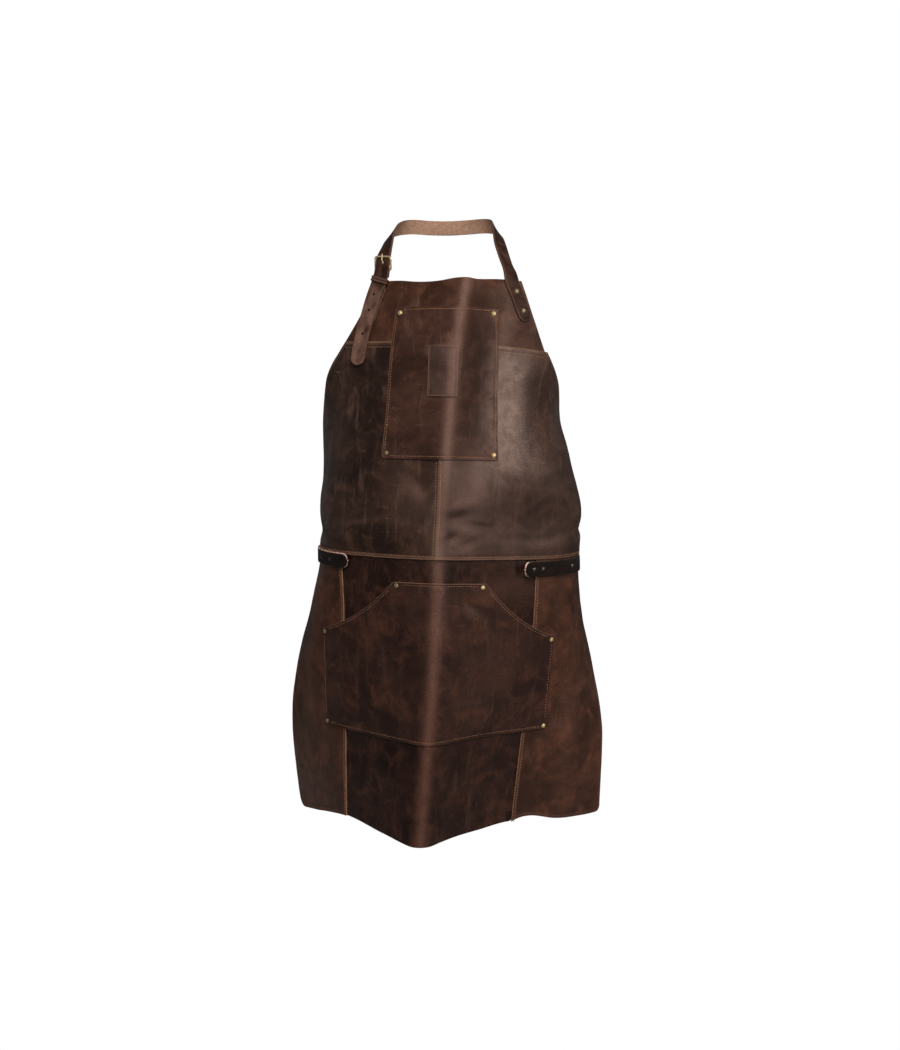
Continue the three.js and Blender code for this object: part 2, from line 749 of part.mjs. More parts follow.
const underTail = (distance) => {
  const { point, out } = fromTip(distance);
  return { point: point.addScaledVector(out, -STRAP_THICK - SEAT_GAP), normal: out };
};
const heelFlap = heelStation(Math.PI);
heelFlap.point.addScaledVector(buckleUp, -HEEL_FLAP);
const buckleRoute = new Route([
  ...BUCKLE_STRAP_ON_YOKE.map(onLeather(STRAP_SEAT + SEAT_GAP)),
  underTail(KEEPER_FROM_TIP),
  ...[0, 0.25, 0.5, 0.75, 1].map((turn) => heelStation(turn * Math.PI)),
  heelFlap,
]);
const buckleBand = strap(buckleRoute, BUCKLE_STRAP_WIDTH, { roundStart: true, step: 4 });
add("buckle_strap", buckleBand, leather(BROWN));

// Keeper: a leather band round the tail and the buckle strap
function rounded(halfWide, halfTall, corner) {
  const shape = new THREE.Shape();
  shape.moveTo(halfWide, -halfTall + corner);
  shape.absarc(halfWide - corner, halfTall - corner, corner, 0, Math.PI / 2);
  shape.absarc(corner - halfWide, halfTall - corner, corner, Math.PI / 2, Math.PI);
  shape.absarc(corner - halfWide, corner - halfTall, corner, Math.PI, Math.PI * 1.5);
  shape.absarc(halfWide - corner, corner - halfTall, corner, Math.PI * 1.5, Math.PI * 2);
  return shape;
}

function keeper() {
  const halfWide = NECK_STRAP_WIDTH / 2 + SEAT_GAP * 2;
  const halfDeep = STRAP_THICK + SEAT_GAP * 2;
  const band = rounded(halfWide + KEEPER_WALL, halfDeep + KEEPER_WALL, KEEPER_CORNER);
  band.holes.push(rounded(halfWide, halfDeep, KEEPER_INNER_CORNER));
  const options = { depth: KEEPER_LENGTH, curveSegments: 3, bevelEnabled: false };
  return new THREE.ExtrudeGeometry(band, options).translate(0, 0, -KEEPER_LENGTH / 2);
}

const keeperSeat = fromTip(KEEPER_FROM_TIP);
keeperSeat.point.addScaledVector(keeperSeat.out, -(STRAP_THICK + SEAT_GAP) / 2);
stand(add("keeper_loop", keeper(), leather(BROWN)), keeperSeat.point, keeperSeat.along, keeperSeat.out);

// Rivets of the neck strap
const STRAP_FACE = PANEL_THICK + SEAT_GAP + STRAP_THICK;
const [, lowerPlace, upperPlace] = NECK_ON_YOKE;
rivet("neck_rivet_lower", ...lowerPlace, STRAP_FACE, BIB_RIVET_SEAT);
rivet("neck_rivet_upper", ...upperPlace, STRAP_FACE, BIB_RIVET_SEAT);

// Waist straps: riveted on the skirt just under the bib, then round to the back
const waistLift = (u) => skirtRise(u) + PANEL_THICK + WAIST_GAP + STRAP_THICK / 2;

function waistRoute(side, tip, height, lift) {
  const edge = side * halfWidth(height);
  const count = Math.round(Math.abs(edge - tip) / WAIST_STEP);
  const places = steps(count).map((t) => lerp(tip, edge, t));
  const onSkirt = places.map((u) => worn(u, height, waistLift(u) + lift));
  const behind = waistBack.map(([x, ...rest]) => [side * x, ...rest]);
  const turned = behind.map(([x, y, z, nx, ny, nz]) => station([x, y, z, side * nx, ny, nz]));
  return new Route([...onSkirt, ...turned]);
}

const waists = [
  // name, side, tip, height, lift over the skirt, rivets; the left one laps over the bib's lower edge
  ["left", -1, WAIST_LEFT_TIP, WAIST_LEFT_H, LAYER, leftRivets],
  ["right", 1, WAIST_RIGHT_TIP, WAIST_RIGHT_H, 0, rightRivets],
];
for (const [name, side, tip, height, lift, rivets] of waists) {
  const route = waistRoute(side, tip, height, lift);
  add(`waist_strap_${name}`, strap(route, WAIST_STRAP_WIDTH, { roundStart: true }), leather(BLACK_BROWN));
  for (const [place, inset] of rivets) {
    const { point, out } = route.frame(inset);
    point.addScaledVector(out, STRAP_THICK / 2 + RIVET_SEAT);
    stand(add(`waist_rivet_${name}_${place}`, rivetCap(WAIST_RIVET_RADIUS), brass()), point, out);
  }
}

// Clasp that joins the waist straps behind
const claspPlate = new THREE.ExtrudeGeometry(rounded(CLASP_HALF_LENGTH, CLASP_HALF_HEIGHT, CLASP_CORNER), {
  depth: CLASP_THICK,
  curveSegments: 4,
  bevelEnabled: false,
}).translate(0, 0, -CLASP_THICK / 2);
const [, claspY, claspZ] = waistBack.at(-1);
const claspPoint = new THREE.Vector3(0, claspY, claspZ);
stand(add("waist_clasp", claspPlate, leather(BLACK)), claspPoint, new THREE.Vector3(0, 1, 0));

export default apron;
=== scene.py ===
import math

import bmesh
import bpy
import numpy as np
from mathutils import Matrix, Vector, noise


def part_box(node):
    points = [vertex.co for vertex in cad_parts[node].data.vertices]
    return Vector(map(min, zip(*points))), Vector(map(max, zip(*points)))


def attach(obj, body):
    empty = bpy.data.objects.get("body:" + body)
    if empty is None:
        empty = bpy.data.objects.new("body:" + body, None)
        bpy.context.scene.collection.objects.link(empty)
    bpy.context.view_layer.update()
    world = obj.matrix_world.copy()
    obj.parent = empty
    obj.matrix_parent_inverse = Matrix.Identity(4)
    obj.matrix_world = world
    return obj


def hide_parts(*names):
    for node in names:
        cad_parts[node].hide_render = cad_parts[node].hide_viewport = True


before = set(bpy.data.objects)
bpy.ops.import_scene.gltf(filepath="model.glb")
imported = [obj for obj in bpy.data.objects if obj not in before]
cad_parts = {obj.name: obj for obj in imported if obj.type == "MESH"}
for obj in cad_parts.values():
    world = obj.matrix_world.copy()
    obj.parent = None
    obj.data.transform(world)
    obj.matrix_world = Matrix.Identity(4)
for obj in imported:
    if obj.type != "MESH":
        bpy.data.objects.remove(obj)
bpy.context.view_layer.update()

# A waxed leather work apron in its worn form, in metres: +X to the viewer's right, +Y to the
# wearer's back, +Z up, with the origin where the neck strap bears on the nape.

# Leather thickness, and how the pieces are lapped
PANEL_FACE = 0.0018
HIDE_THICK = 0.0022
STRAP_THICK = 0.0026
LAYER = 0.00245
SEAT_GAP = 0.0003
SEAM_LAP = 0.012
LAP_REACH = 0.020
LAP_RAMP = 0.040
LAP_FADE = 0.050
EDGE_EASE = 0.0006
PANEL_CELL = 0.003
RIM_STEPS = (0, 0.0008, 0.0018, 0.003, 0.0042, 0.0058)
EDGE_REACH_MARK = 0.006
EDGE_WEAR = 0.76

# Cutting pattern: u runs across from the centre line, h is the height on the front ridge
BIB_TOP = -0.083
YOKE_SEAM = -0.179
YOKE_SLOPE = 0.03
WAIST_SEAM = -0.476
HEM = -0.864
HEM_HALF = 0.300
LEFT_HEM_CORNER = 0.026
RIGHT_HEM_CORNER = 0.008
SKIRT_SEAM = 0.147
HALF_WIDTHS = (
    # h, half width
    (-0.083, 0.105),
    (-0.130, 0.130),
    (-0.181, 0.160),
    (-0.230, 0.202),
    (-0.270, 0.224),
    (-0.341, 0.262),
    (-0.410, 0.292),
    (-0.476, 0.304),
    (-0.864, 0.300),
)
HEM_STEPS = (
    # u, how much shorter the right side is cut than the hem's own line
    (0.310, 0),
    (0.260, 0),
    (0.214, 0.0024),
    (0.180, 0.0092),
    (0.165, 0.0094),
    (0.155, 0.0070),
    (0.147, 0.0034),
)
HEM_LEVEL_FROM = 0.095
HEM_HIDDEN = 0.0012
HEM_RISES = (
    # u, rise above the hem's lowest point
    (0.300, 0.008),
    (0.147, 0.012),
    (0.070, 0.006),
    (0, 0),
    (-0.070, 0.005),
    (-0.147, 0.009),
    (-0.230, -0.006),
    (-0.300, -0.019),
)
TOP_SAGS = (
    # u, sag of the bib's top edge
    (0.105, 0),
    (0.070, 0.0015),
    (0.041, 0.0035),
    (0.027, 0.0014),
    (0.010, 0.0022),
    (-0.015, 0.0062),
    (-0.043, 0.0062),
    (-0.072, 0.0026),
    (-0.105, 0),
)

# Worn form: the front ridge stands at (x, y), ridge_u from the centre line, and the section leans by
# tilt. The other columns are how far each wing has turned back, in degrees, past the ridge, at the
# skirt seam and at the side edge.
RIDGE_REACH = 0.018
SEAM_REACH = 0.150
EDGE_REACH = 0.315
LEAN = 0.02
STRAIGHT = 1e-4
SECTIONS = (
    # h, ridge_u, x, y, tilt, left ridge, left seam, left edge, right ridge, right seam, right edge
    (-0.083, 0.027, 0.025, -0.118, 8, 10, 36, 56, 12, 44, 70),
    (-0.130, 0.022, 0.017, -0.133, 6, 10, 34, 59, 12, 46, 82),
    (-0.200, 0.017, 0.008, -0.155, 2, 10, 36, 76, 12, 48, 95),
    (-0.270, 0.013, 0.001, -0.170, 0, 10, 41, 97, 12, 49, 110),
    (-0.341, 0.010, -0.005, -0.182, 0, 10, 44, 106, 10, 41, 113),
    (-0.410, 0.006, -0.011, -0.192, 0, 10, 44, 114, 10, 31, 108),
    (-0.476, 0.004, -0.016, -0.197, 0, 14, 44, 122, 12, 30, 109),
    (-0.560, 0.002, -0.019, -0.200, -1, 24, 41, 100, 20, 28, 98),
    (-0.650, 0.002, -0.024, -0.203, -2, 32, 42, 79, 28, 27, 74),
    (-0.740, 0.002, -0.031, -0.206, -3, 38, 46, 64, 36, 22, 54),
    (-0.864, 0.002, -0.040, -0.208, -3, 44, 52, 64, 46, 17, 46),
)

# Folds pressed into the leather, the large ones first
FOLDS = (
    # u, h, turn, along, across, height
    (0.195, -0.420, 9, 0.085, 0.012, 0.0014),
    (0.288, -0.433, 14, 0.040, 0.008, -0.0064),
    (0.205, -0.438, 9, 0.060, 0.006, -0.0013),
    (0.130, -0.446, -2, 0.050, 0.006, -0.0008),
    (-0.270, -0.440, -8, 0.060, 0.010, -0.0044),
    (-0.240, -0.412, -6, 0.070, 0.024, 0.0020),
    (0.030, -0.400, 20, 0.040, 0.016, 0.0016),
    (0.228, -0.292, 80, 0.040, 0.026, -0.0040),
    (0.225, -0.770, 86, 0.110, 0.034, 0.0060),
    (-0.225, -0.640, 84, 0.120, 0.034, 0.0040),
    # small creases
    (0.050, -0.384, 88, 0.034, 0.030, 0.0026),
    (0.027, -0.414, 6, 0.014, 0.006, -0.0026),
    (0.019, -0.443, -34, 0.015, 0.006, -0.0026),
    (0.046, -0.452, 24, 0.018, 0.006, -0.0016),
    (0.036, -0.436, -20, 0.022, 0.008, 0.0012),
    (0.055, -0.538, -40, 0.020, 0.012, -0.0030),
    (-0.215, -0.455, -4, 0.060, 0.006, -0.0008),
    (-0.200, -0.385, -12, 0.055, 0.010, -0.0006),
    (0.185, -0.365, 14, 0.050, 0.012, -0.0008),
    (0.150, -0.404, 30, 0.026, 0.007, -0.0012),
    (0.188, -0.398, -18, 0.028, 0.008, -0.0012),
    (0.222, -0.408, 24, 0.024, 0.007, -0.0014),
    (0.120, -0.424, -34, 0.022, 0.007, -0.0012),
    (0.170, -0.458, 4, 0.050, 0.008, 0.0008),
    (-0.120, -0.430, 8, 0.050, 0.010, 0.0008),
    (0.060, -0.672, 4, 0.030, 0.006, 0.0006),
)
# Places painted paler without a fold: where the wax has paled, and a painted sheen beside the bib seam,
# painted highlights beside the dents and a painted sheen on a soft crease of the left bib
PALE_AND_SHEEN_PLACES = (
    # u, h, turn, along, across, strength
    (0.038, -0.372, 75, 0.050, 0.026, 0.34),
    (0.022, -0.438, 20, 0.030, 0.014, 0.28),
    (-0.045, -0.395, -70, 0.060, 0.026, 0.20),
    (-0.165, -0.300, 80, 0.070, 0.020, 0.12),
    (0.095, -0.520, 8, 0.055, 0.020, 0.42),
    (0.085, -0.640, 60, 0.080, 0.050, 0.16),
    (0.070, -0.570, -35, 0.050, 0.012, 0.20),
    (0.190, -0.560, 84, 0.080, 0.014, 0.22),
    (0.235, -0.700, 78, 0.120, 0.012, 0.26),
    (-0.235, -0.620, 84, 0.120, 0.014, 0.22),
    (0.060, -0.105, -10, 0.030, 0.010, 0.14),
    (0.086, -0.155, 84, 0.030, 0.010, 0.30),
    (0.024, -0.400, 85, 0.060, 0.020, 0.22),
    # painted highlights beside the dents
    (0.041, -0.398, 5, 0.018, 0.004, 0.30),
    (0.036, -0.464, 4, 0.018, 0.006, 0.30),
    # painted sheen on a soft crease of the left bib
    (-0.030, -0.385, -48, 0.028, 0.010, 0.48),
)
# Places rubbed dull, made rougher and painted darker; in the dents and beside the right waist strap's tip
# the darkening is painted shade
DULL_AND_SHADED_PLACES = (
    # u, h, turn, along, across, strength
    (0.205, -0.415, 8, 0.110, 0.042, 1.0),
    (0.042, -0.235, 86, 0.100, 0.016, 1.1),
    (0.140, -0.380, 10, 0.060, 0.030, 0.4),
    (0.130, -0.408, 0, 0.120, 0.050, 0.9),
    (0.116, -0.152, 75, 0.045, 0.018, 0.7),
    (0.230, -0.330, 70, 0.050, 0.030, 0.5),
    (0.010, -0.410, 90, 0.050, 0.012, 0.6),
    (-0.100, -0.166, 8, 0.050, 0.020, 0.5),
    # two dents, painted darker as painted shade
    (0.027, -0.414, 10, 0.014, 0.006, 1.8),
    (0.017, -0.444, 30, 0.010, 0.005, 1.8),
    (0.060, -0.427, -6, 0.022, 0.004, 0.9),
    # painted shadow on the skirt beside the right waist strap's curled tip
    (0.118, -0.490, 90, 0.010, 0.0045, 2.2),
)
RIPPLE_SCALE = 13
RIPPLE_HEIGHT = 0.0009
RIPPLE_FINER = 2.2
RIPPLE_OCTAVES = 3

# Where the hide is painted paler: along the ridge, where the paled wax is also a painted highlight, and on
# the folds or beside them
RIDGE_PULL_AND_HIGHLIGHT_BIB = 0.0065
RIDGE_PULL_AND_HIGHLIGHT_SKIRT = 0.0075
RIDGE_PULL_AND_HIGHLIGHT_BLEND = 0.03
FOLD_PULL = 0.18
FOLD_PULL_WIDTH = 0.5
HOLLOW_PULL_OFFSET = 1.2

# Chest pocket and its bare patch
CHEST_TOP = -0.129
CHEST_BOTTOM = -0.341
CHEST_HALF_TOP = 0.073
CHEST_HALF_BOTTOM = 0.082
CHEST_CORNER = 0.003
CHEST_BULGE = 0.0036
PATCH_LEFT = -0.018
PATCH_RIGHT = 0.020
PATCH_TOP = -0.187
PATCH_BOTTOM = -0.256

# Hand pocket: a flat top, a scooped mouth on each side and a shallow point at the ridge
HAND_TOP = -0.508
HAND_LEFT_CORNER = -0.058
HAND_RIGHT_CORNER = 0.070
HAND_LEFT = -0.190
HAND_RIGHT = 0.183
HAND_MOUTH_END = -0.587
MOUTH_SCOOP_ACROSS = 0.42
MOUTH_SCOOP_DOWN = 0.76
MOUTH_POINTS = 60
HAND_BOTTOM = -0.726
HAND_BOTTOM_SLOPE = 0.04
HAND_LEFT_EASE = 3
HAND_BULGE = 0.004
HAND_CORNER = 0.008

# Rivets
RIVET_RADIUS = 0.0036
RIVET_RISE = 0.0023
RIVET_STEPS = 28
HAND_RIVET_RADIUS = 0.0031
CHEST_RIVET_INSET = 0.007
HAND_RIVET_INSET = 0.005
HAND_RIVET_DROP = 0.002
WAIST_RIVET_RADIUS = 0.003
WAIST_RIVET_RISE = 0.0018

# How the straps are cut, bent and worn
STRAP_COLUMNS = 16
STRAP_CELL = 0.0025
COLUMN_EVENNESS = 0.7
COLUMN_REACH = 0.999
END_TURN_FROM = 0.12
END_TURN_STEPS = 9
STRAP_CROWN = 0.0003
TIGHT_BEND = 400
BEND_PULL = 0.14
TAIL_WEAR_LENGTH = 0.13
TAIL_WEAR_FADE = 0.02
TAIL_WEAR = 0.62
TAIL_PATCHES = 0.5
TAIL_PATCH_ACROSS = 90
TAIL_PATCH_ALONG = 45
TAIL_PATCH_FINER = 2.0

# Neck strap: on the yoke, free round the neck, and its tail on the bib
NECK_CELL = 0.0013
NECK_STRAP_WIDTH = 0.0215
NECK_ON_YOKE = (
    # u, h
    (0.120, -0.141),
    (0.112, -0.127),
    (0.099, -0.100),
    (0.092, -0.088),
)
NECK_ROUTE = (
    # x, y, z, and the direction its face looks
    (0.085, -0.103, -0.075, 0.56, -0.78, 0.28),
    (0.080, -0.091, -0.060, 0.62, -0.66, 0.42),
    (0.073, -0.076, -0.035, 0.56, -0.54, 0.63),
    (0.069, -0.055, -0.014, 0.73, -0.20, 0.65),
    (0.063, -0.034, -0.003, 0.88, 0.26, 0.38),
    (0.048, -0.014, 0.001, 0.75, 0.64, 0.15),
    (0.026, -0.002, 0.001, 0.35, 0.93, 0.05),
    (0, 0.0016, 0, 0, 1, 0),
    (-0.028, -0.001, 0, -0.3, 0.95, 0.05),
    (-0.056, -0.012, 0, -0.65, 0.73, 0.2),
    (-0.076, -0.034, -0.006, -0.86, 0.24, 0.44),
    (-0.086, -0.057, -0.018, -0.76, -0.10, 0.64),
    (-0.091, -0.074, -0.036, -0.60, -0.48, 0.64),
    (-0.0955, -0.084, -0.055, -0.34, -0.84, 0.42),
    (-0.099, -0.089, -0.080, -0.22, -0.95, 0.2),
)
TAIL_ON_BIB = (
    # u, h, height of the strap's middle over the leather's inner face
    (-0.110, -0.110, 0.0082),
    (-0.117, -0.141, 0.0080),
    (-0.1235, -0.171, 0.0078),
    (-0.1295, -0.211, 0.0072),
)
TAIL_FACING = (-0.1, -1, 0.12)
TAIL_HOLES = (0.0465, 0.0825, 0.107)
HOLE_RADIUS = 0.0017
BUCKLE_HALF_WIDTH = 0.0118
BUCKLE_REACH = 0.0088
BUCKLE_WIRE = 0.0014
BUCKLE_SQUARENESS = 0.3
BUCKLE_WIRE_SIDES = 14
BUCKLE_STEPS = 72
BUCKLE_FROM_TIP = 0.1545
KEEPER_FROM_TIP = 0.129
KEEPER_LENGTH = 0.0085
KEEPER_WALL = 0.0010
KEEPER_RIDGE = 0.0010
KEEPER_RIDGES = 2
KEEPER_SIDES = 56
KEEPER_STEPS = 12
KEEPER_WIDE_SQUARENESS = 0.22
KEEPER_DEEP_SQUARENESS = 0.42
KEEPER_PULL = 0.15
KEEPER_CREST_PULL = 0.5
PRONG_RADIUS = 0.001
PRONG_SIDES = 12
PRONG_STEPS = 6
PRONG_TIP = 0.65
PRONG_HOLE_AHEAD = 0.001
PRONG_LINE = (
    # up the strap, out from its middle
    (-0.0042, -0.0026),
    (0, 0.0014),
    (0.004, 0.0046),
    (0.009, 0.0063),
    (0.012, 0.0063),
)
BUCKLE_STRAP_WIDTH = 0.017
BUCKLE_STRAP_ON_YOKE = (
    # u, h
    (-0.1155, -0.148),
    (-0.110, -0.122),
    (-0.103, -0.098),
)
HEEL_FLAP = 0.010

# Waist straps and the clasp that closes them behind
WAIST_STRAP_WIDTH = 0.021
WAIST_STRAP_H = {-1: -0.4845, 1: -0.4895}
WAIST_OVER_BIB = {-1: 0.0015, 1: 0}
WAIST_TILT = {-1: 0.105, 1: 0}
WAIST_RIGHT_TIP = 0.124
WAIST_LEFT_TIP = -0.131
WAIST_STEP = 0.030
WAIST_GAP = 0.0005
WAIST_TIP_CURL = {-1: 0.0010, 1: 0.0080}
WAIST_CURL_REACH = 0.0105
WAIST_CURL_STEPS = (0, 0.007, 0.016)
WAIST_TIP_WEAR = 0.009
WAIST_PLAIN_WEAR = 0.6
WAIST_COLUMNS = 12
LEFT_WAIST_RIVETS = (
    # name, distance from the strap's tip
    ("inner", 0.039),
    ("outer", 0.066),
)
RIGHT_WAIST_RIVETS = (
    # name, distance from the strap's tip
    ("inner", 0.018),
    ("middle", 0.033),
    ("outer", 0.100),
)
WAIST_BACK = (
    # x, y, z, and the direction the face looks, on the right side
    (0.157, 0.055, -0.478, 0.78, 0.62, 0),
    (0.095, 0.092, -0.466, 0.35, 0.94, 0),
    (0.042, 0.102, -0.461, 0.08, 1, 0),
    (0.019, 0.103, -0.460, 0, 1, 0),
)
CLASP_CORNER = 0.004
CLASP_RIM = 0.0025
CLASP_STEP = 0.0006
CLASP_SINK = 0.0008
CLASP_EASE = 0.0004
CLASP_THIN = 0.001
CLASP_FACING = 0.9
CLASP_SHARP = math.radians(40)

# Stitching
STITCH_PITCH = 0.0040
STITCH_LENGTH = 0.0029
STITCH_WIDTH = 0.0010
STITCH_HEIGHT = 0.0008
STITCH_PROUD = 0.25
STITCH_SLANT = math.radians(9)
STITCH_STEP = 0.001
STITCH_INSET = 0.0036
GROOVE_DEPTH = 0.0003
GROOVE_WIDTH = 0.0013
YOKE_ROWS = (0.0024, 0.0085)
CENTRE_ROW = 0.0032
PATCH_ROW = 0.0025
LONG_ROW_POINTS = 300
ROW_POINTS = 160

# Where the rows of stitches stop short
YOKE_ROW_CLEAR = 0.004
POCKET_CLEAR = 0.004
WAIST_ROW_CLEAR = 0.005
WAIST_ROW_STARTS = {-1: -0.002, 1: 0.003}
SEAM_ROW_START = 0.003
SEAM_ROW_STOP = 0.002
SKIRT_ROW_START = 0.012
SKIRT_ROW_STOP = 0.014
HAND_ROW_STOP = 0.006
CORNER_CLEAR = 0.012
MOUTH_POINTS_CLEAR = 5


# Worn form

def smooth(value, low, high):
    """Rises from 0 at low to 1 at high, with soft ends."""
    t = np.clip((value - low) / (high - low), 0, 1)
    return t * t * (3 - 2 * t)


def lerp(start, end, t):
    return start + (end - start) * t


def between(rows, key):
    """Smooth values at a key between the rows of a table whose first column falls."""
    table = np.array(rows, float)
    last = len(table) - 1
    order = np.arange(last + 1)
    before = table[np.maximum(order - 1, 0)]
    after = table[np.minimum(order + 1, last)]
    slopes = (after - before) / (before[:, :1] - after[:, :1])
    held = np.clip(np.asarray(key, float), table[-1, 0], table[0, 0])
    i = np.clip(np.searchsorted(-table[:, 0], -held, side="right") - 1, 0, last - 1)
    span = (table[i, 0] - table[i + 1, 0])[..., None]
    q = (table[i, 0] - held)[..., None] / span
    start = table[i] * (1 + 2 * q) + slopes[i] * span * q
    end = table[i + 1] * (3 - 2 * q) + slopes[i + 1] * span * (q - 1)
    return start * (1 - q) ** 2 + end * q**2


def half_width(h):
    return between(HALF_WIDTHS, h)[..., 1]


def rounded(distance, radius):
    """Rise of an edge that turns through a rounded corner, at a distance from the corner's far side."""
    return radius - np.sqrt(radius**2 - np.clip(radius - distance, 0, radius) ** 2)


def hem_line(u):
    """The hem with its rounded corners."""
    corner = rounded(HEM_HALF + u, LEFT_HEM_CORNER) + rounded(HEM_HALF - u, RIGHT_HEM_CORNER)
    return HEM + between(HEM_RISES, u)[..., 1] + corner


def right_hem(u):
    """The right side's hem, cut a little shorter beside the seam."""
    return hem_line(u) + between(HEM_STEPS, u)[..., 1]


def center_hem(u):
    """The middle's hem, level with the right side's at the seam and hidden behind it in the lap."""
    level = HEM_STEPS[-1][1] * smooth(u, HEM_LEVEL_FROM, SKIRT_SEAM)
    return np.where(u < SKIRT_SEAM, hem_line(u) + level, right_hem(u) + HEM_HIDDEN)


def top_line(u):
    return BIB_TOP - between(TOP_SAGS, u)[..., 1]


def yoke_line(u):
    return YOKE_SEAM - YOKE_SLOPE * u


def along_across(u, h, fold_u, fold_h, turn):
    """Distances along and across a fold's line."""
    cos, sin = math.cos(math.radians(turn)), math.sin(math.radians(turn))
    du, dh = u - fold_u, h - fold_h
    return du * cos + dh * sin, dh * cos - du * sin


def marked(places, u, h):
    """Strength of the soft marks of a table at places on the pattern."""
    strength = np.zeros(u.shape)
    for mark_u, mark_h, turn, along, across, most in places:
        a, b = along_across(u, h, mark_u, mark_h, turn)
        strength += most * np.exp(-((a / along) ** 2) - (b / across) ** 2)
    return strength


def ripples(x, y, finer):
    """Slight unevenness at places, each of its octaves finer than the last."""
    return np.array([noise.fractal((a, b, 0), 1.0, finer, RIPPLE_OCTAVES) for a, b in zip(x, y)])


def relief(u, h):
    """Height of the folds and of the hide's slight ripple at a place on the pattern."""
    ripple = ripples(u * RIPPLE_SCALE, h * RIPPLE_SCALE, RIPPLE_FINER)
    return marked(FOLDS, u, h) + RIPPLE_HEIGHT * ripple


def wing(s, turns):
    """One wing of a section: across and depth after a walk of s from the ridge."""
    reaches = (0, RIDGE_REACH, SEAM_REACH, EDGE_REACH)
    headings = np.radians(np.stack([np.zeros_like(s), *turns]))
    across = np.zeros_like(s)
    depth = np.zeros_like(s)
    for i in range(3):
        bend = (headings[i + 1] - headings[i]) / (reaches[i + 1] - reaches[i])
        bend = np.where(np.abs(bend) < STRAIGHT, STRAIGHT, bend)
        far = reaches[i + 1] if i < 2 else math.inf
        heading = headings[i] + bend * (np.clip(s, reaches[i], far) - reaches[i])
        across += (np.sin(heading) - np.sin(headings[i])) / bend
        depth += (np.cos(headings[i]) - np.cos(heading)) / bend
    return across, depth


def base(u, h):
    """Points of the worn leather's inner face."""
    row = np.moveaxis(between(SECTIONS, h), -1, 0)
    ridge_u, x, y, tilt = row[1:5]
    side = np.where(u < ridge_u, -1.0, 1.0)
    turns = [np.where(side < 0, row[5 + i], row[8 + i]) for i in range(3)]
    across, depth = wing(np.abs(u - ridge_u), turns)
    lean = np.radians(tilt)
    points = np.stack([x + side * across, y + depth * np.cos(lean), h - depth * np.sin(lean)], -1)
    points[..., 2] -= LEAN * points[..., 0]
    return points


def worn_at(u, h, lift=0.0):
    """Points and outward normals at places on the pattern, lifted off the leather's inner face."""
    u, h = np.broadcast_arrays(np.asarray(u, float), np.asarray(h, float))
    step = 0.001
    across = base(u + step, h) - base(u - step, h)
    up = base(u, h + step) - base(u, h - step)
    normal = np.cross(across, up)
    normal /= np.linalg.norm(normal, axis=-1, keepdims=True)
    return base(u, h) + normal * (lift + relief(u, h))[..., None], normal


def paled_and_highlit(u, h):
    """Where the hide is painted paler: along the ridge, stretched wax that is also a painted highlight, on
    the folds' crests, and at the pale places, some of them painted sheen.
    """
    from_ridge = u - between(SECTIONS, h)[..., 1]
    on_skirt = smooth(h, WAIST_SEAM + RIDGE_PULL_AND_HIGHLIGHT_BLEND, WAIST_SEAM - RIDGE_PULL_AND_HIGHLIGHT_BLEND)
    mark = np.exp(-((from_ridge / lerp(RIDGE_PULL_AND_HIGHLIGHT_BIB, RIDGE_PULL_AND_HIGHLIGHT_SKIRT, on_skirt)) ** 2))
    for fold_u, fold_h, turn, along, across, rise in FOLDS:
        a, b = along_across(u, h, fold_u, fold_h, turn)
        beside = b if rise > 0 else np.abs(b) - HOLLOW_PULL_OFFSET * across
        mark += FOLD_PULL * np.exp(-((a / along) ** 2) - (beside / (FOLD_PULL_WIDTH * across)) ** 2)
    return np.clip(mark + marked(PALE_AND_SHEEN_PLACES, u, h), 0, 1)


# Lifts: each panel is raised where it laps another and settles past the lap

def settle(distance):
    return 1 - smooth(distance, 0, LAP_FADE)


def no_lift(u, h):
    return 0 * u


def side_lift(u, h):
    return LAYER * settle(np.abs(u) - SKIRT_SEAM - LAP_REACH)


def skirt_rise(u):
    return smooth(np.abs(u), SKIRT_SEAM - LAP_RAMP, SKIRT_SEAM) * side_lift(u, 0)


def bib_lift(u, h):
    over_yoke = LAYER * settle(yoke_line(u) - LAP_REACH - h)
    over_skirt = (LAYER + skirt_rise(u)) * settle(h - WAIST_SEAM - LAP_REACH)
    return over_yoke + over_skirt


def right_bib_lift(u, h):
    return bib_lift(u, h) + LAYER * settle(u - LAP_REACH)


def chest_half(h):
    return lerp(CHEST_HALF_TOP, CHEST_HALF_BOTTOM, chest_down(h))


def chest_down(h):
    return np.clip((CHEST_TOP - h) / (CHEST_TOP - CHEST_BOTTOM), 0, 1)


def over_lap(past):
    """1 on a lap that starts at 0, with a soft rise before it and a soft fall after it."""
    return smooth(past, -LAP_RAMP, 0) * settle(past - LAP_REACH)


def chest_lift(u, h):
    full = (1 - np.clip(u / chest_half(h), -1, 1) ** 4) * (1 - chest_down(h) ** 4)
    below = yoke_line(u) - h
    seams = over_lap(below) + over_lap(u) * smooth(below, -LAP_RAMP, 0)
    return LAYER * (1 + seams) + CHEST_BULGE * full


def patch_lift(u, h):
    return chest_lift(u, h) + LAYER


def mouth_line(corner, end):
    """Points of a mouth's scooped edge from the pocket's top corner to its side."""
    t = np.linspace(0, 1, MOUTH_POINTS)
    scoop_u = lerp(corner, end, MOUTH_SCOOP_ACROSS)
    scoop_h = lerp(HAND_TOP, HAND_MOUTH_END, MOUTH_SCOOP_DOWN)
    u = (1 - t) ** 2 * corner + 2 * t * (1 - t) * scoop_u + t**2 * end
    h = (1 - t) ** 2 * HAND_TOP + 2 * t * (1 - t) * scoop_h + t**2 * HAND_MOUTH_END
    return u, h


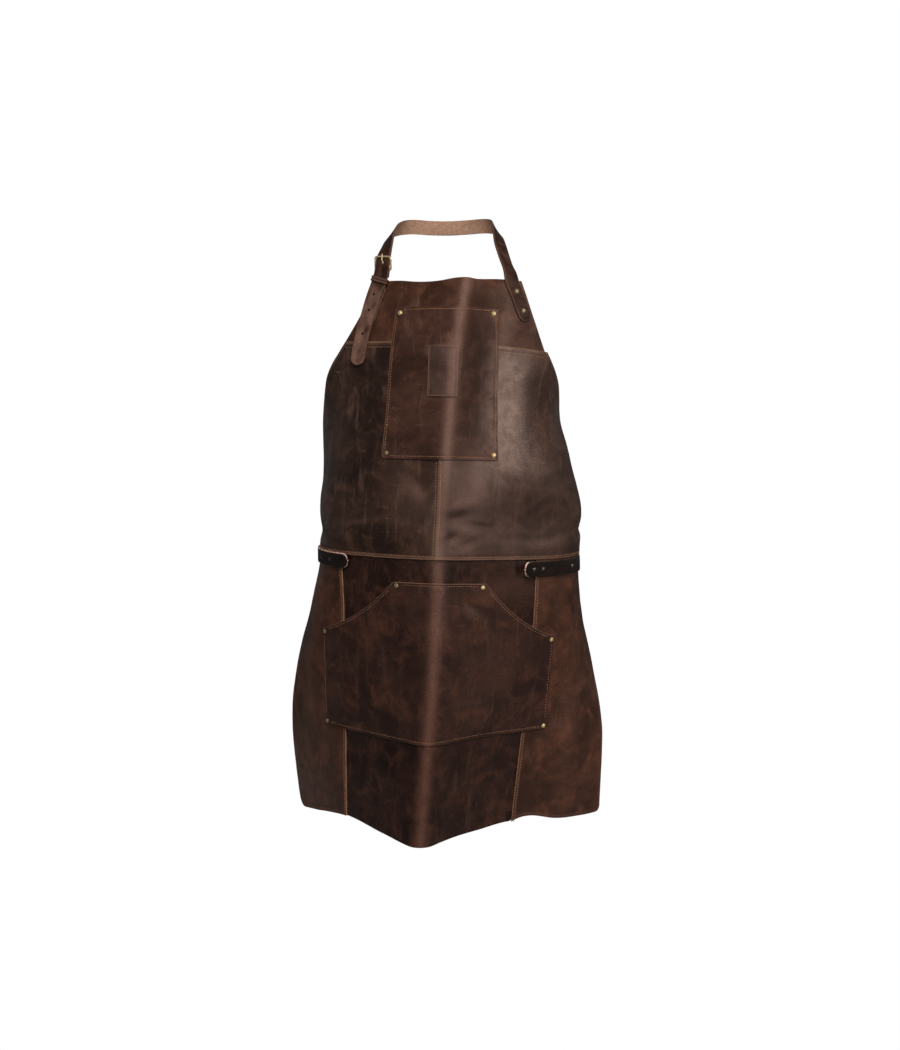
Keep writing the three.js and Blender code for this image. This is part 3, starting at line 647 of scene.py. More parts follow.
LEFT_MOUTH = mouth_line(HAND_LEFT_CORNER, HAND_LEFT)
RIGHT_MOUTH = mouth_line(HAND_RIGHT_CORNER, HAND_RIGHT)


def hand_upper(u):
    left = np.interp(u, LEFT_MOUTH[0][::-1], LEFT_MOUTH[1][::-1])
    right = np.interp(u, *RIGHT_MOUTH)
    return np.minimum(left, right)


def hand_lower(u):
    side = np.minimum(u - HAND_LEFT, HAND_RIGHT - u)
    return HAND_BOTTOM + HAND_BOTTOM_SLOPE * np.maximum(u, u / HAND_LEFT_EASE) + rounded(side, HAND_CORNER)


def chest_lower(u):
    return CHEST_BOTTOM + rounded(CHEST_HALF_BOTTOM - np.abs(u), CHEST_CORNER)


def hand_lift(u, h):
    half = np.where(u < 0, HAND_LEFT, HAND_RIGHT)
    full_down = 1 - np.clip((HAND_TOP - h) / (HAND_TOP - HAND_BOTTOM), 0, 1) ** 2
    full = np.sin(np.pi * np.clip(u / half, 0, 1)) * full_down
    return LAYER + skirt_rise(u) + HAND_BULGE * full


def inner_lift(u, h):
    """Lift of the innermost layer at a place on the pattern."""
    bib = np.where(u > SEAM_LAP, right_bib_lift(u, h), bib_lift(u, h))
    skirt = np.where(np.abs(u) > SKIRT_SEAM + SEAM_LAP, side_lift(u, h), 0)
    lift = np.where(h > WAIST_SEAM + SEAM_LAP, bib, skirt)
    return np.where(h > yoke_line(u) - SEAM_LAP, 0, lift)


# Tones that several pieces of hide share
SHEEN_TINT = (1.0, 0.74, 0.64, 1)
# A darker tone that the waist straps' cut edges take past a distance along each strap
EDGE_DARKER_TONE = (0.030, 0.018, 0.014, 1)
LEFT_WAIST_DARKER_FROM = 0.05
RIGHT_WAIST_DARKER_FROM = 0.006
# Pulled tones of the bib and skirt, also the colour of their painted highlight and painted sheen
BIB_PALE_AND_HIGHLIGHT = (0.150, 0.085, 0.066)
SKIRT_PALE_AND_HIGHLIGHT = (0.106, 0.048, 0.033)
STRAP_PULL = (0.180, 0.098, 0.073)
EDGE_TONE = (0.160, 0.082, 0.052)
STRAP_EDGE = (0.090, 0.048, 0.034)
HAND_EDGE = (0.125, 0.068, 0.048)

# How strongly each mark shows on the hide
HIDE_TONES = ("Dark", "Mid", "Warm", "Pale", "Worn Edge")
HIDE_MARKS = ("Paling", "Edge", "Dull_Shade")
SCUFF_SHOWS = 0.45
SMEAR_SHOWS = 0.30
CREASE_SHOWS = 0.11
PALING_SHOWS = 0.8
SCUFF_ROUGH = 0.12
DULL_ROUGH = 0.34
DULL_AND_SHADE_DARKENING = 0.26


# Shader groups and materials

def add_node(tree, kind, inputs=(), **settings):
    """A node with its settings, and its inputs given as values or as sockets to link."""
    node = tree.nodes.new(kind)
    for key, value in settings.items():
        setattr(node, key, value)
    for key, value in dict(inputs).items():
        if isinstance(value, bpy.types.NodeSocket):
            tree.links.new(value, node.inputs[key])
        else:
            node.inputs[key].default_value = value
    return node


def mix(tree, factor, first, second):
    """A colour between two, given as values or as sockets to link."""
    inputs = {0: factor, 6: first, 7: second}
    return add_node(tree, "ShaderNodeMix", inputs, data_type="RGBA", clamp_factor=True).outputs[2]


def maths(tree, operation, *values):
    return add_node(tree, "ShaderNodeMath", enumerate(values), operation=operation).outputs[0]


def times(tree, first, second):
    return maths(tree, "MULTIPLY", first, second)


def plus(tree, first, second):
    return maths(tree, "ADD", first, second)


def mask(tree, value, low, high, out_low=0.0, out_high=1.0):
    """A value stretched from low..high to out_low..out_high."""
    inputs = {"Value": value, "From Min": low, "From Max": high, "To Min": out_low, "To Max": out_high}
    return add_node(tree, "ShaderNodeMapRange", inputs, interpolation_type="SMOOTHSTEP").outputs[0]


def object_places(tree):
    return add_node(tree, "ShaderNodeTexCoord").outputs["Object"]


def clouds(tree, vector, scale, detail=4.0, rough=0.55, distortion=0.0):
    look = {"Scale": scale, "Detail": detail, "Roughness": rough, "Distortion": distortion}
    return add_node(tree, "ShaderNodeTexNoise", {"Vector": vector, **look}).outputs["Fac"]


def stretched(tree, vector, scale, turn=0.0):
    inputs = {"Vector": vector, "Scale": scale, "Rotation": (0, 0, turn)}
    return add_node(tree, "ShaderNodeMapping", inputs).outputs[0]


def new_group(name, inputs, outputs):
    """A shader node group with named sockets, and its input and output nodes."""
    group = bpy.data.node_groups.new(name, "ShaderNodeTree")
    for socket, kind in inputs:
        group.interface.new_socket(socket, in_out="INPUT", socket_type="NodeSocket" + kind)
    for socket, kind in outputs:
        group.interface.new_socket(socket, in_out="OUTPUT", socket_type="NodeSocket" + kind)
    return group, group.nodes.new("NodeGroupInput").outputs, group.nodes.new("NodeGroupOutput").inputs


def make_hide_color():
    """Waxed hide: clouded tone, paler where it is pulled and where highlights and sheen are painted,
    scuffed, worn along its edges, and darkened with painted shade at the dull places.
    """
    tones = [(tone, "Color") for tone in HIDE_TONES]
    marks = [(mark, "Float") for mark in (*HIDE_MARKS, "Band")]
    group, given, made = new_group(
        "hide_color", [("Vector", "Vector"), *tones, *marks], [("Color", "Color"), ("Roughness", "Float")]
    )
    vector = given["Vector"]
    dark, mid, warm, pale, worn_edge = (given[tone] for tone in HIDE_TONES)

    # Clouded tone
    cloud = clouds(group, vector, 13.0, 3.0, 0.55, 0.4)
    bloom = clouds(group, vector, 28.0, 4.0, 0.6, 0.8)
    mottle = clouds(group, vector, 55.0, 6.0, 0.65, 0.5)
    tone = mix(group, mask(group, cloud, 0.38, 0.60), dark, mid)
    tone = mix(group, mask(group, bloom, 0.44, 0.72, 0.0, 0.85), tone, warm)
    tone = mix(group, mask(group, mottle, 0.40, 0.70, 0.0, 0.75), tone, dark)

    # Scuffs and smears
    streak = clouds(group, stretched(group, vector, (34.0, 150.0, 1.0), 0.35), 1.0, 5.0, 0.6)
    scuff = times(group, mask(group, streak, 0.58, 0.76), mask(group, cloud, 0.42, 0.66))
    tone = mix(group, times(group, scuff, SCUFF_SHOWS), tone, pale)
    smear = clouds(group, stretched(group, vector, (64.0, 15.0, 1.0), 0.12), 1.0, 4.0, 0.6, 0.7)
    smear = times(group, mask(group, smear, 0.52, 0.72), mask(group, mottle, 0.35, 0.6, 0.3, 1.0))
    tone = mix(group, times(group, smear, SMEAR_SHOWS), tone, pale)

    # Wandering crease lines
    wander = add_node(group, "ShaderNodeTexNoise", {"Vector": vector, "Scale": 26.0, "Detail": 3.0})
    sway = {0: wander.outputs["Color"], 1: (0.05, 0.05, 0.0), 2: vector}
    bent = add_node(group, "ShaderNodeVectorMath", sway, operation="MULTIPLY_ADD").outputs[0]
    net = {"Vector": bent, "Scale": 14.0}
    cells = add_node(group, "ShaderNodeTexVoronoi", net, feature="DISTANCE_TO_EDGE")
    creased = mask(group, cells.outputs["Distance"], 0.004, 0.030, 1.0, 0.0)
    creased = times(group, creased, mask(group, bloom, 0.50, 0.66, 0.0, CREASE_SHOWS))
    tone = mix(group, creased, tone, pale)

    # Pulled places, with the painted highlight along the ridge and the painted sheen, the pale band inside
    # the edges, and the worn edges
    paling = times(group, given["Paling"], mask(group, mottle, 0.2, 0.7, 0.55, 1.0))
    tone = mix(group, times(group, paling, PALING_SHOWS), tone, pale)
    band = times(group, mask(group, given["Edge"], 0.02, 0.15), given["Band"])
    band = times(group, band, mask(group, mottle, 0.2, 0.7, 0.5, 1.0))
    tone = mix(group, band, tone, pale)
    edge = mask(group, given["Edge"], 0.66, 0.88)
    edge = times(group, edge, mask(group, mottle, 0.25, 0.6, 0.4, 1.0))
    tone = mix(group, edge, tone, worn_edge)

    # Fine speckle, and the places rubbed dull and painted darker, partly as painted shade
    speckle = clouds(group, vector, 420.0, 3.0, 0.6)
    undarkened = maths(group, "SUBTRACT", 1.0, times(group, given["Dull_Shade"], DULL_AND_SHADE_DARKENING))
    shade = times(group, mask(group, speckle, 0.3, 0.7, 0.82, 1.12), undarkened)
    value = add_node(group, "ShaderNodeHueSaturation", {"Value": shade, "Color": tone})
    group.links.new(value.outputs[0], made["Color"])
    rough = mask(group, mottle, 0.25, 0.75, 0.27, 0.42)
    rough = plus(group, rough, times(group, scuff, SCUFF_ROUGH))
    rough = plus(group, rough, times(group, given["Dull_Shade"], DULL_ROUGH))
    group.links.new(rough, made["Roughness"])
    return group


def make_hide_grain():
    """Height of the hide's pebbled grain, pores and fine creases."""
    group, given, made = new_group("hide_grain", [("Vector", "Vector")], [("Height", "Float")])
    vector = given["Vector"]
    net = {"Vector": vector, "Scale": 620.0}
    pebble = add_node(group, "ShaderNodeTexVoronoi", net, feature="SMOOTH_F1").outputs["Distance"]
    crease = clouds(group, stretched(group, vector, (130.0, 310.0, 1.0), 0.25), 1.0, 5.0, 0.62, 0.6)
    pores = clouds(group, vector, 900.0, 2.0, 0.6)
    height = plus(group, times(group, pebble, 0.5), times(group, crease, 1.6))
    height = plus(group, height, times(group, pores, 0.3))
    group.links.new(height, made["Height"])
    return group


def make_metal_wear():
    """Aged metal: a dark film worn away in patches, with fine rubbing marks."""
    group, given, made = new_group(
        "metal_wear",
        [("Vector", "Vector"), ("Bright", "Color"), ("Film", "Color")],
        [("Color", "Color"), ("Roughness", "Float"), ("Height", "Float")],
    )
    vector = given["Vector"]
    film = clouds(group, vector, 420.0, 5.0, 0.6, 0.3)
    rubbed = clouds(group, stretched(group, vector, (900.0, 2600.0, 1400.0)), 1.0, 3.0, 0.6)
    tone = mix(group, mask(group, film, 0.42, 0.68), given["Bright"], given["Film"])
    group.links.new(tone, made["Color"])
    group.links.new(mask(group, film, 0.3, 0.7, 0.30, 0.50), made["Roughness"])
    group.links.new(rubbed, made["Height"])
    return group


HIDE_COLOR = make_hide_color()
HIDE_GRAIN = make_hide_grain()
METAL_WEAR = make_metal_wear()


def new_material(name, **shader):
    """A material, its node tree and its shader, with values set on the shader's own sockets."""
    material = bpy.data.materials.new(name)
    material.use_nodes = True
    tree = material.node_tree
    principled = tree.nodes["Principled BSDF"]
    for key, value in shader.items():
        principled.inputs[key.replace("_", " ")].default_value = value
    return material, tree, principled


def bump(tree, principled, height, strength, distance):
    node = add_node(tree, "ShaderNodeBump", {"Strength": strength, "Distance": distance, "Height": height})
    tree.links.new(node.outputs[0], principled.inputs["Normal"])


def make_hide(name, offset, dark, mid, warm, pale, worn_edge=EDGE_TONE, sheen=0.45, band=0.0):
    """The waxed grain side of a piece of hide, cut from its own place on the skin."""
    material, tree, principled = new_material(name, Specular_IOR_Level=sheen, Specular_Tint=SHEEN_TINT)
    uv = add_node(tree, "ShaderNodeUVMap", uv_map="pattern").outputs[0]
    vector = add_node(tree, "ShaderNodeMapping", {"Vector": uv, "Location": (*offset, 0)}).outputs[0]
    color = add_node(tree, "ShaderNodeGroup", {"Vector": vector}, node_tree=HIDE_COLOR)
    for socket, tone in zip(HIDE_TONES, (dark, mid, warm, pale, worn_edge)):
        color.inputs[socket].default_value = (*tone, 1)
    color.inputs["Band"].default_value = band
    for mark in HIDE_MARKS:
        read = add_node(tree, "ShaderNodeAttribute", attribute_name=mark.lower())
        tree.links.new(read.outputs["Fac"], color.inputs[mark])
    tree.links.new(color.outputs["Color"], principled.inputs["Base Color"])
    tree.links.new(color.outputs["Roughness"], principled.inputs["Roughness"])
    grain = add_node(tree, "ShaderNodeGroup", {"Vector": vector}, node_tree=HIDE_GRAIN)
    bump(tree, principled, grain.outputs["Height"], 0.35, 0.0004)
    return material


def make_flesh(name, light, dark):
    """The unfinished flesh side: short felted nap."""
    material, tree, principled = new_material(name, Roughness=0.95, Specular_IOR_Level=0.2)
    vector = object_places(tree)
    nap = clouds(tree, vector, 260.0, 6.0, 0.7, 0.4)
    drift = clouds(tree, vector, 24.0, 3.0, 0.55)
    tone = mix(tree, mask(tree, nap, 0.3, 0.7), (*dark, 1), (*light, 1))
    tone = mix(tree, mask(tree, drift, 0.35, 0.7, 0.0, 0.4), tone, (*dark, 1))
    tree.links.new(tone, principled.inputs["Base Color"])
    bump(tree, principled, nap, 0.5, 0.0006)
    return material


def make_cut_edge(name, light, dark, darker_from=None):
    """A raw cut edge: packed fibres, paler than either face, or dark past a distance along a strap."""
    material, tree, principled = new_material(name, Roughness=0.8, Specular_IOR_Level=0.3)
    vector = object_places(tree)
    fibre = clouds(tree, vector, 700.0, 4.0, 0.65)
    soiled = clouds(tree, vector, 60.0, 4.0, 0.6)
    tone = mix(tree, mask(tree, fibre, 0.3, 0.7, 0.0, 0.6), (*light, 1), (*dark, 1))
    tone = mix(tree, mask(tree, soiled, 0.45, 0.75, 0.0, 0.8), tone, (*dark, 1))
    if darker_from:
        uv = add_node(tree, "ShaderNodeUVMap", uv_map="pattern").outputs[0]
        along = add_node(tree, "ShaderNodeSeparateXYZ", {0: uv}).outputs["Y"]
        tone = mix(tree, mask(tree, along, darker_from, 3 * darker_from, 0.0, 0.9), tone, EDGE_DARKER_TONE)
    tree.links.new(tone, principled.inputs["Base Color"])
    bump(tree, principled, fibre, 0.4, 0.0003)
    return material


def make_thread(name, light, dark):
    """Waxed sewing thread with its twist."""
    material, tree, principled = new_material(name, Roughness=0.6, Specular_IOR_Level=0.4)
    vector = object_places(tree)
    twist = clouds(tree, vector, 1500.0, 2.0, 0.5)
    wear = clouds(tree, vector, 45.0, 4.0, 0.6)
    tone = mix(tree, mask(tree, wear, 0.4, 0.7), (*light, 1), (*dark, 1))
    tone = mix(tree, mask(tree, twist, 0.45, 0.7, 0.0, 0.5), tone, (*dark, 1))
    tree.links.new(tone, principled.inputs["Base Color"])
    bump(tree, principled, twist, 0.5, 0.0003)
    return material


def make_metal(name, bright, film, metallic=1.0):
    """Aged metal with its own bright tone and its own film."""
    material, tree, principled = new_material(name, Metallic=metallic)
    vector = object_places(tree)
    wear = add_node(tree, "ShaderNodeGroup", {"Vector": vector}, node_tree=METAL_WEAR)
    wear.inputs["Bright"].default_value = (*bright, 1)
    wear.inputs["Film"].default_value = (*film, 1)
    tree.links.new(wear.outputs["Color"], principled.inputs["Base Color"])
    tree.links.new(wear.outputs["Roughness"], principled.inputs["Roughness"])
    bump(tree, principled, wear.outputs["Height"], 0.08, 0.0002)
    return material


def make_clasp_plastic():
    """Matt black plastic, finely pitted."""
    material, tree, principled = new_material("clasp_plastic", Specular_IOR_Level=0.45)
    vector = object_places(tree)
    spark = clouds(tree, vector, 1600.0, 2.0, 0.5)
    tone = mix(tree, mask(tree, spark, 0.3, 0.7), (0.012, 0.012, 0.012, 1), (0.022, 0.021, 0.020, 1))
    tree.links.new(tone, principled.inputs["Base Color"])
    tree.links.new(mask(tree, spark, 0.3, 0.7, 0.42, 0.58), principled.inputs["Roughness"])
    bump(tree, principled, spark, 0.15, 0.0002)
    return material


# Each piece of hide: its place on the skin, its dark, mid, warm and pulled tones, the pulled tone also that
# of the painted highlight and sheen, and its worn edge
YOKE_HIDE = make_hide(
    "yoke_hide", (0.0, 0.0), (0.026, 0.011, 0.007), (0.052, 0.0215, 0.013), (0.080, 0.032, 0.0185),
    BIB_PALE_AND_HIGHLIGHT, sheen=0.29,
)
LEFT_BIB_HIDE = make_hide(
    "left_bib_hide", (1.3, 0.4), (0.010, 0.0052, 0.0042), (0.023, 0.0115, 0.0082), (0.052, 0.0265, 0.0155),
    BIB_PALE_AND_HIGHLIGHT, band=0.25,
)
RIGHT_BIB_HIDE = make_hide(
    "right_bib_hide", (2.1, 1.7), (0.022, 0.011, 0.008), (0.042, 0.021, 0.015), (0.070, 0.034, 0.023),
    BIB_PALE_AND_HIGHLIGHT, sheen=0.72, band=0.15,
)
SKIRT_HIDE = make_hide(
    "skirt_hide", (3.4, 0.9), (0.0085, 0.0038, 0.0031), (0.020, 0.0086, 0.0064), (0.052, 0.0200, 0.0122),
    SKIRT_PALE_AND_HIGHLIGHT,
)
SIDE_HIDE = make_hide(
    "side_hide", (4.2, 2.3), (0.028, 0.0120, 0.0074), (0.062, 0.0255, 0.0152), (0.110, 0.040, 0.0225),
    SKIRT_PALE_AND_HIGHLIGHT, band=0.4,
)
CHEST_HIDE = make_hide(
    "chest_pocket_hide", (5.7, 1.1), (0.022, 0.0102, 0.0073), (0.042, 0.0195, 0.0135),
    (0.066, 0.028, 0.0175), BIB_PALE_AND_HIGHLIGHT, sheen=0.30,
)
HAND_HIDE = make_hide(
    "hand_pocket_hide", (6.3, 3.6), (0.0145, 0.0066, 0.0053), (0.031, 0.0138, 0.0104),
    (0.062, 0.0245, 0.0150), SKIRT_PALE_AND_HIGHLIGHT, HAND_EDGE,
)
PATCH_HIDE = make_hide(
    "patch_hide", (7.9, 2.2), (0.028, 0.0150, 0.0118), (0.047, 0.026, 0.021), (0.055, 0.031, 0.024),
    BIB_PALE_AND_HIGHLIGHT,
)
STRAP_HIDE = make_hide(
    "strap_hide", (8.4, 0.3), (0.013, 0.006, 0.0042), (0.026, 0.0115, 0.008), (0.038, 0.017, 0.011),
    STRAP_PULL, STRAP_EDGE, sheen=0.1,
)
WAIST_HIDE = make_hide(
    "waist_strap_hide", (9.6, 4.4), (0.006, 0.0045, 0.004), (0.012, 0.008, 0.007), (0.018, 0.011, 0.009),
    (0.030, 0.022, 0.019), (0.36, 0.215, 0.175), sheen=0.25,
)

# Flesh sides, cut edges, threads and metals: a lighter tone and a darker one
PANEL_FLESH = make_flesh("panel_flesh", (0.30, 0.175, 0.115), (0.16, 0.090, 0.058))
STRAP_FLESH = make_flesh("strap_flesh", (0.36, 0.22, 0.15), (0.22, 0.13, 0.088))
CUT_EDGE = make_cut_edge("cut_edge", (0.33, 0.18, 0.11), (0.16, 0.08, 0.05))
POCKET_EDGE = make_cut_edge("pocket_cut_edge", (0.20, 0.11, 0.070), (0.10, 0.05, 0.032))
PATCH_EDGE = make_cut_edge("patch_cut_edge", (0.19, 0.112, 0.080), (0.10, 0.055, 0.038))
# The neck and buckle straps' cut edges are painted dark: painted shade along their sides
SHADED_STRAP_CUT = make_cut_edge("shaded_strap_cut_edge", (0.105, 0.060, 0.042), (0.055, 0.030, 0.021))
# Near black hole walls: painted shade inside the punched holes
SHADED_HOLE_WALL = make_cut_edge("shaded_hole_wall", (0.012, 0.007, 0.005), (0.006, 0.004, 0.003))
WAIST_EDGES = {
    "left": make_cut_edge(
        "left_waist_cut_edge", (0.58, 0.39, 0.32), (0.36, 0.23, 0.18), LEFT_WAIST_DARKER_FROM
    ),
    "right": make_cut_edge(
        "right_waist_cut_edge", (0.76, 0.57, 0.48), (0.50, 0.35, 0.28), RIGHT_WAIST_DARKER_FROM
    ),
}
WAIST_FLESH = make_flesh("waist_strap_flesh", (0.16, 0.10, 0.072), (0.09, 0.055, 0.040))
THREAD = make_thread("seam_thread", (0.31, 0.150, 0.080), (0.18, 0.080, 0.044))
POCKET_THREAD = make_thread("pocket_thread", (0.26, 0.125, 0.072), (0.14, 0.065, 0.038))
PATCH_THREAD = make_thread("patch_thread", (0.12, 0.065, 0.042), (0.06, 0.032, 0.022))
BUCKLE_BRASS = make_metal("buckle_brass", (0.90, 0.74, 0.46), (0.58, 0.43, 0.22), metallic=0.8)
RIVET_BRASS = make_metal("rivet_brass", (0.96, 0.73, 0.37), (0.58, 0.39, 0.16), metallic=0.8)
# Darker brass: on the left rivets it is painted shade, as the light falls from the right; the neck strap's
# rivets use it as aged brass
AGED_AND_SHADED_BRASS = make_metal("aged_and_shaded_brass", (0.46, 0.35, 0.20), (0.20, 0.14, 0.075), metallic=0.75)
DULL_METAL = make_metal("dull_rivet_metal", (0.22, 0.20, 0.17), (0.09, 0.078, 0.066))
CLASP_PLASTIC = make_clasp_plastic()


# Pieces

def join_body(name, mesh, node):
    """An object for a finished mesh on the one body, standing for a solid where it has a node."""
    piece = bpy.data.objects.new(name, mesh)
    bpy.context.scene.collection.objects.link(piece)
    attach(piece, "root")
    if node:
        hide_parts(node)
    return piece


def finish_mesh(name, bm, *materials):
    """The bmesh as a smooth mesh with its materials."""
    for face in bm.faces:
        face.smooth = True
    mesh = bpy.data.meshes.new(name)
    bm.to_mesh(mesh)
    bm.free()
    for material in materials:
        mesh.materials.append(material)
    return mesh


def flat_grid(columns, rows):
    """A flat grid with a vertex at each column (x) and row (y)."""
    bm = bmesh.new()
    wide, tall = len(columns) - 1, len(rows) - 1
    bmesh.ops.create_grid(bm, x_segments=wide, y_segments=tall, size=0.5)
    for vert in bm.verts:
        column = round((vert.co.x + 0.5) * wide)
        row = round((vert.co.y + 0.5) * tall)
        vert.co = (columns[column], rows[row], 0)
    return bm


def read_places(bm):
    return np.array([vert.co.to_tuple() for vert in bm.verts])


def set_places(bm, places):
    for vert, place in zip(bm.verts, places):
        vert.co = place


def fractions(length):
    """Places along a side as shares of its length, a cell apart and closer beside both ends."""
    rim = np.array(RIM_STEPS) / length
    count = max(2, math.ceil(length * (1 - 2 * rim[-1]) / PANEL_CELL) + 1)
    inner = np.linspace(rim[-1], 1 - rim[-1], count)
    return np.concatenate([rim[:-1], inner, (1 - rim[:-1])[::-1]])


def mark_leather(bm, flat, marks):
    """Writes each vertex's place on the pattern as a UV map, and its marks as attributes."""
    for name, values in marks.items():
        layer = bm.verts.layers.float.new(name)
        for vert, value in zip(bm.verts, values):
            vert[layer] = value
    bm.verts.index_update()
    pattern = bm.loops.layers.uv.new("pattern")
    for face in bm.faces:
        for loop in face.loops:
            loop[pattern].uv = flat[loop.vert.index]


FLESH_SLOT = 1
CUT_SLOT = 2
HOLE_SLOT = 3
AUTO_SLOT = -1
EASED_FROM = math.radians(50)


def thicken(piece, thickness, edge_slot=CUT_SLOT):
    """Gives a leather face its thickness, its flesh side and its eased cut edges."""
    wall = piece.modifiers.new("thickness", "SOLIDIFY")
    wall.thickness = thickness
    wall.offset = -1
    wall.use_even_offset = True
    wall.material_offset = FLESH_SLOT
    wall.material_offset_rim = CUT_SLOT
    ease = piece.modifiers.new("eased_edge", "BEVEL")
    ease.width = EDGE_EASE
    ease.segments = 2
    ease.limit_method = "ANGLE"
    ease.angle_limit = EASED_FROM
    ease.material = edge_slot


ALL_SIDES = ("left", "right", "top", "bottom")


def panel(name, hide, left, right, top, bottom, lift, sewn, cut_edge=CUT_EDGE, worn=()):
    """A piece of hide laid on the worn form between four edges of the pattern."""
    middle = float(left(WAIST_SEAM) + right(WAIST_SEAM)) / 2
    width = float(right(WAIST_SEAM) - left(WAIST_SEAM))
    bm = flat_grid(fractions(width), fractions(float(top(middle) - bottom(middle))))
    a, b = read_places(bm)[:, :2].T
    level = lerp(bottom(middle), top(middle), b)
    u = lerp(left(level), right(level), a)
    h = lerp(bottom(u), top(u), b)
    inset = dict(zip(ALL_SIDES, (u - left(level), right(level) - u, top(u) - h, h - bottom(u))))
    wear = dict.fromkeys(ALL_SIDES, EDGE_WEAR) | dict(worn)
    worn_sides = [wear[side] * np.clip(1 - inset[side] / EDGE_REACH_MARK, 0, 1) for side in ALL_SIDES]
    groove = sum(np.exp(-(((inset[side] - STITCH_INSET) / GROOVE_WIDTH) ** 2)) for side in sewn)
    set_places(bm, np.stack([u, h, np.zeros_like(u)], 1))
    area = sum(face.calc_area() for face in bm.faces)
    edge = np.maximum.reduce(worn_sides)
    marks = {"paling": paled_and_highlit(u, h), "edge": edge, "dull_shade": marked(DULL_AND_SHADED_PLACES, u, h)}
    mark_leather(bm, np.stack([u, h], 1), marks)
    places, _ = worn_at(u, h, lift(u, h) + PANEL_FACE - GROOVE_DEPTH * groove)
    set_places(bm, places)
    mesh = finish_mesh(name, bm, hide, PANEL_FLESH, cut_edge)
    piece = join_body(name + "_leather", mesh, name)
    thicken(piece, HIDE_THICK)


def fixed(value):
    """An edge of the pattern that keeps one value."""
    return lambda place: np.full(np.shape(place), value)


def left_edge(h):
    return -half_width(h)


def chest_left(h):
    return -chest_half(h)


def under_yoke(u):
    return yoke_line(u) - SEAM_LAP


SKIRT_TOP = WAIST_SEAM + SEAM_LAP
CENTER_HALF = SKIRT_SEAM + SEAM_LAP
panel("yoke", YOKE_HIDE, left_edge, half_width, top_line, under_yoke, no_lift, ())
panel(
    "bib_left", LEFT_BIB_HIDE, left_edge, fixed(SEAM_LAP), yoke_line, fixed(WAIST_SEAM),
    bib_lift, ("top", "bottom"), worn={"top": 0.9, "bottom": 0.95},
)
panel(
    "bib_right", RIGHT_BIB_HIDE, fixed(0), half_width, yoke_line, fixed(WAIST_SEAM),
    right_bib_lift, ("left", "top", "bottom"), worn={"top": 0.85, "bottom": 0.95},
)
panel(
    "skirt_center", SKIRT_HIDE, fixed(-CENTER_HALF), fixed(CENTER_HALF), fixed(SKIRT_TOP), center_hem,
    no_lift, (),
)
panel(
    "skirt_left", SIDE_HIDE, left_edge, fixed(-SKIRT_SEAM), fixed(SKIRT_TOP), hem_line,
    side_lift, ("right",), worn={"right": 0.92},
)
panel(
    "skirt_right", SIDE_HIDE, fixed(SKIRT_SEAM), half_width, fixed(SKIRT_TOP), right_hem,
    side_lift, ("left",), worn={"left": 0.84},
)
panel(
    "chest_pocket", CHEST_HIDE, chest_left, chest_half, fixed(CHEST_TOP), chest_lower,
    chest_lift, ALL_SIDES,
    POCKET_EDGE, {"left": 0.90, "top": 0.7, "bottom": 0.74, "right": 0.74},
)
panel(
    "chest_patch", PATCH_HIDE, fixed(PATCH_LEFT), fixed(PATCH_RIGHT), fixed(PATCH_TOP), fixed(PATCH_BOTTOM),
    patch_lift, ALL_SIDES,
    PATCH_EDGE, {"left": 0.92, "bottom": 0.86, "top": 0.72, "right": 0.72},
)
panel(
    "hand_pocket", HAND_HIDE, fixed(HAND_LEFT), fixed(HAND_RIGHT), hand_upper, hand_lower,
    hand_lift, ALL_SIDES,
    POCKET_EDGE, {"left": 0.86, "top": 0.9},
)


# Straps

def spline(points, per_span=24):
    """A smooth line through points, spaced by the square root of their distances."""
    points = np.array(points, float)
    ends = (2 * points[0] - points[1], 2 * points[-1] - points[-2])
    knots = np.vstack([ends[0], points, ends[1]])
    line = []
    for p0, p1, p2, p3 in zip(knots, knots[1:], knots[2:], knots[3:]):
        pairs = ((p0, p1), (p1, p2), (p2, p3))
        d0, d1, d2 = (max(math.sqrt(np.linalg.norm(q - p)), 1e-4) for p, q in pairs)
        m1 = d1 * ((p1 - p0) / d0 - (p2 - p0) / (d0 + d1) + (p2 - p1) / d1)
        m2 = d1 * ((p2 - p1) / d1 - (p3 - p1) / (d1 + d2) + (p3 - p2) / d2)
        t = np.linspace(0, 1, per_span, endpoint=False)[:, None]
        line.append(
            (2 * t**3 - 3 * t**2 + 1) * p1 + (t**3 - 2 * t**2 + t) * m1
            + (3 * t**2 - 2 * t**3) * p2 + (t**3 - t**2) * m2
        )
    return np.vstack([*line, points[-1:]])


def unit(vectors):
    return vectors / np.linalg.norm(vectors, axis=-1, keepdims=True)


class Route:
    """A strap's line through stations, each a point with the direction its face looks."""

    def __init__(self, stations):
        self.points = spline([point for point, _ in stations])
        self.faces = spline([face for _, face in stations])
        steps = np.linalg.norm(np.diff(self.points, axis=0), axis=1)
        self.distances = np.concatenate([[0], np.cumsum(steps)])
        self.length = float(self.distances[-1])
        self.tangents = unit(np.gradient(self.points, self.distances, axis=0))

    def frames(self, distance):
        """Place, direction along, outward face and direction across at distances from the start."""
        def sample(values):
            return np.stack([np.interp(distance, self.distances, column) for column in values.T], -1)

        along = unit(sample(self.tangents))
        face = sample(self.faces)
        out = unit(face - along * np.sum(face * along, -1, keepdims=True))
        return sample(self.points), along, out, np.cross(out, along)

    def frame(self, distance):
        return [Vector(value) for value in self.frames(float(distance))]


def on_leather(u, h, lift):
    """A station on the leather: its point, lifted off the inner face, and the outward normal."""
    point, normal = worn_at(np.array([u]), np.array([h]), lift)
    return point[0], normal[0]


def hanging(u, h, lift):
    """A station that hangs on the leather, turned part of the way to the front."""
    point, normal = on_leather(u, h, lift)
    return point, unit(normal + unit(np.array(TAIL_FACING)))


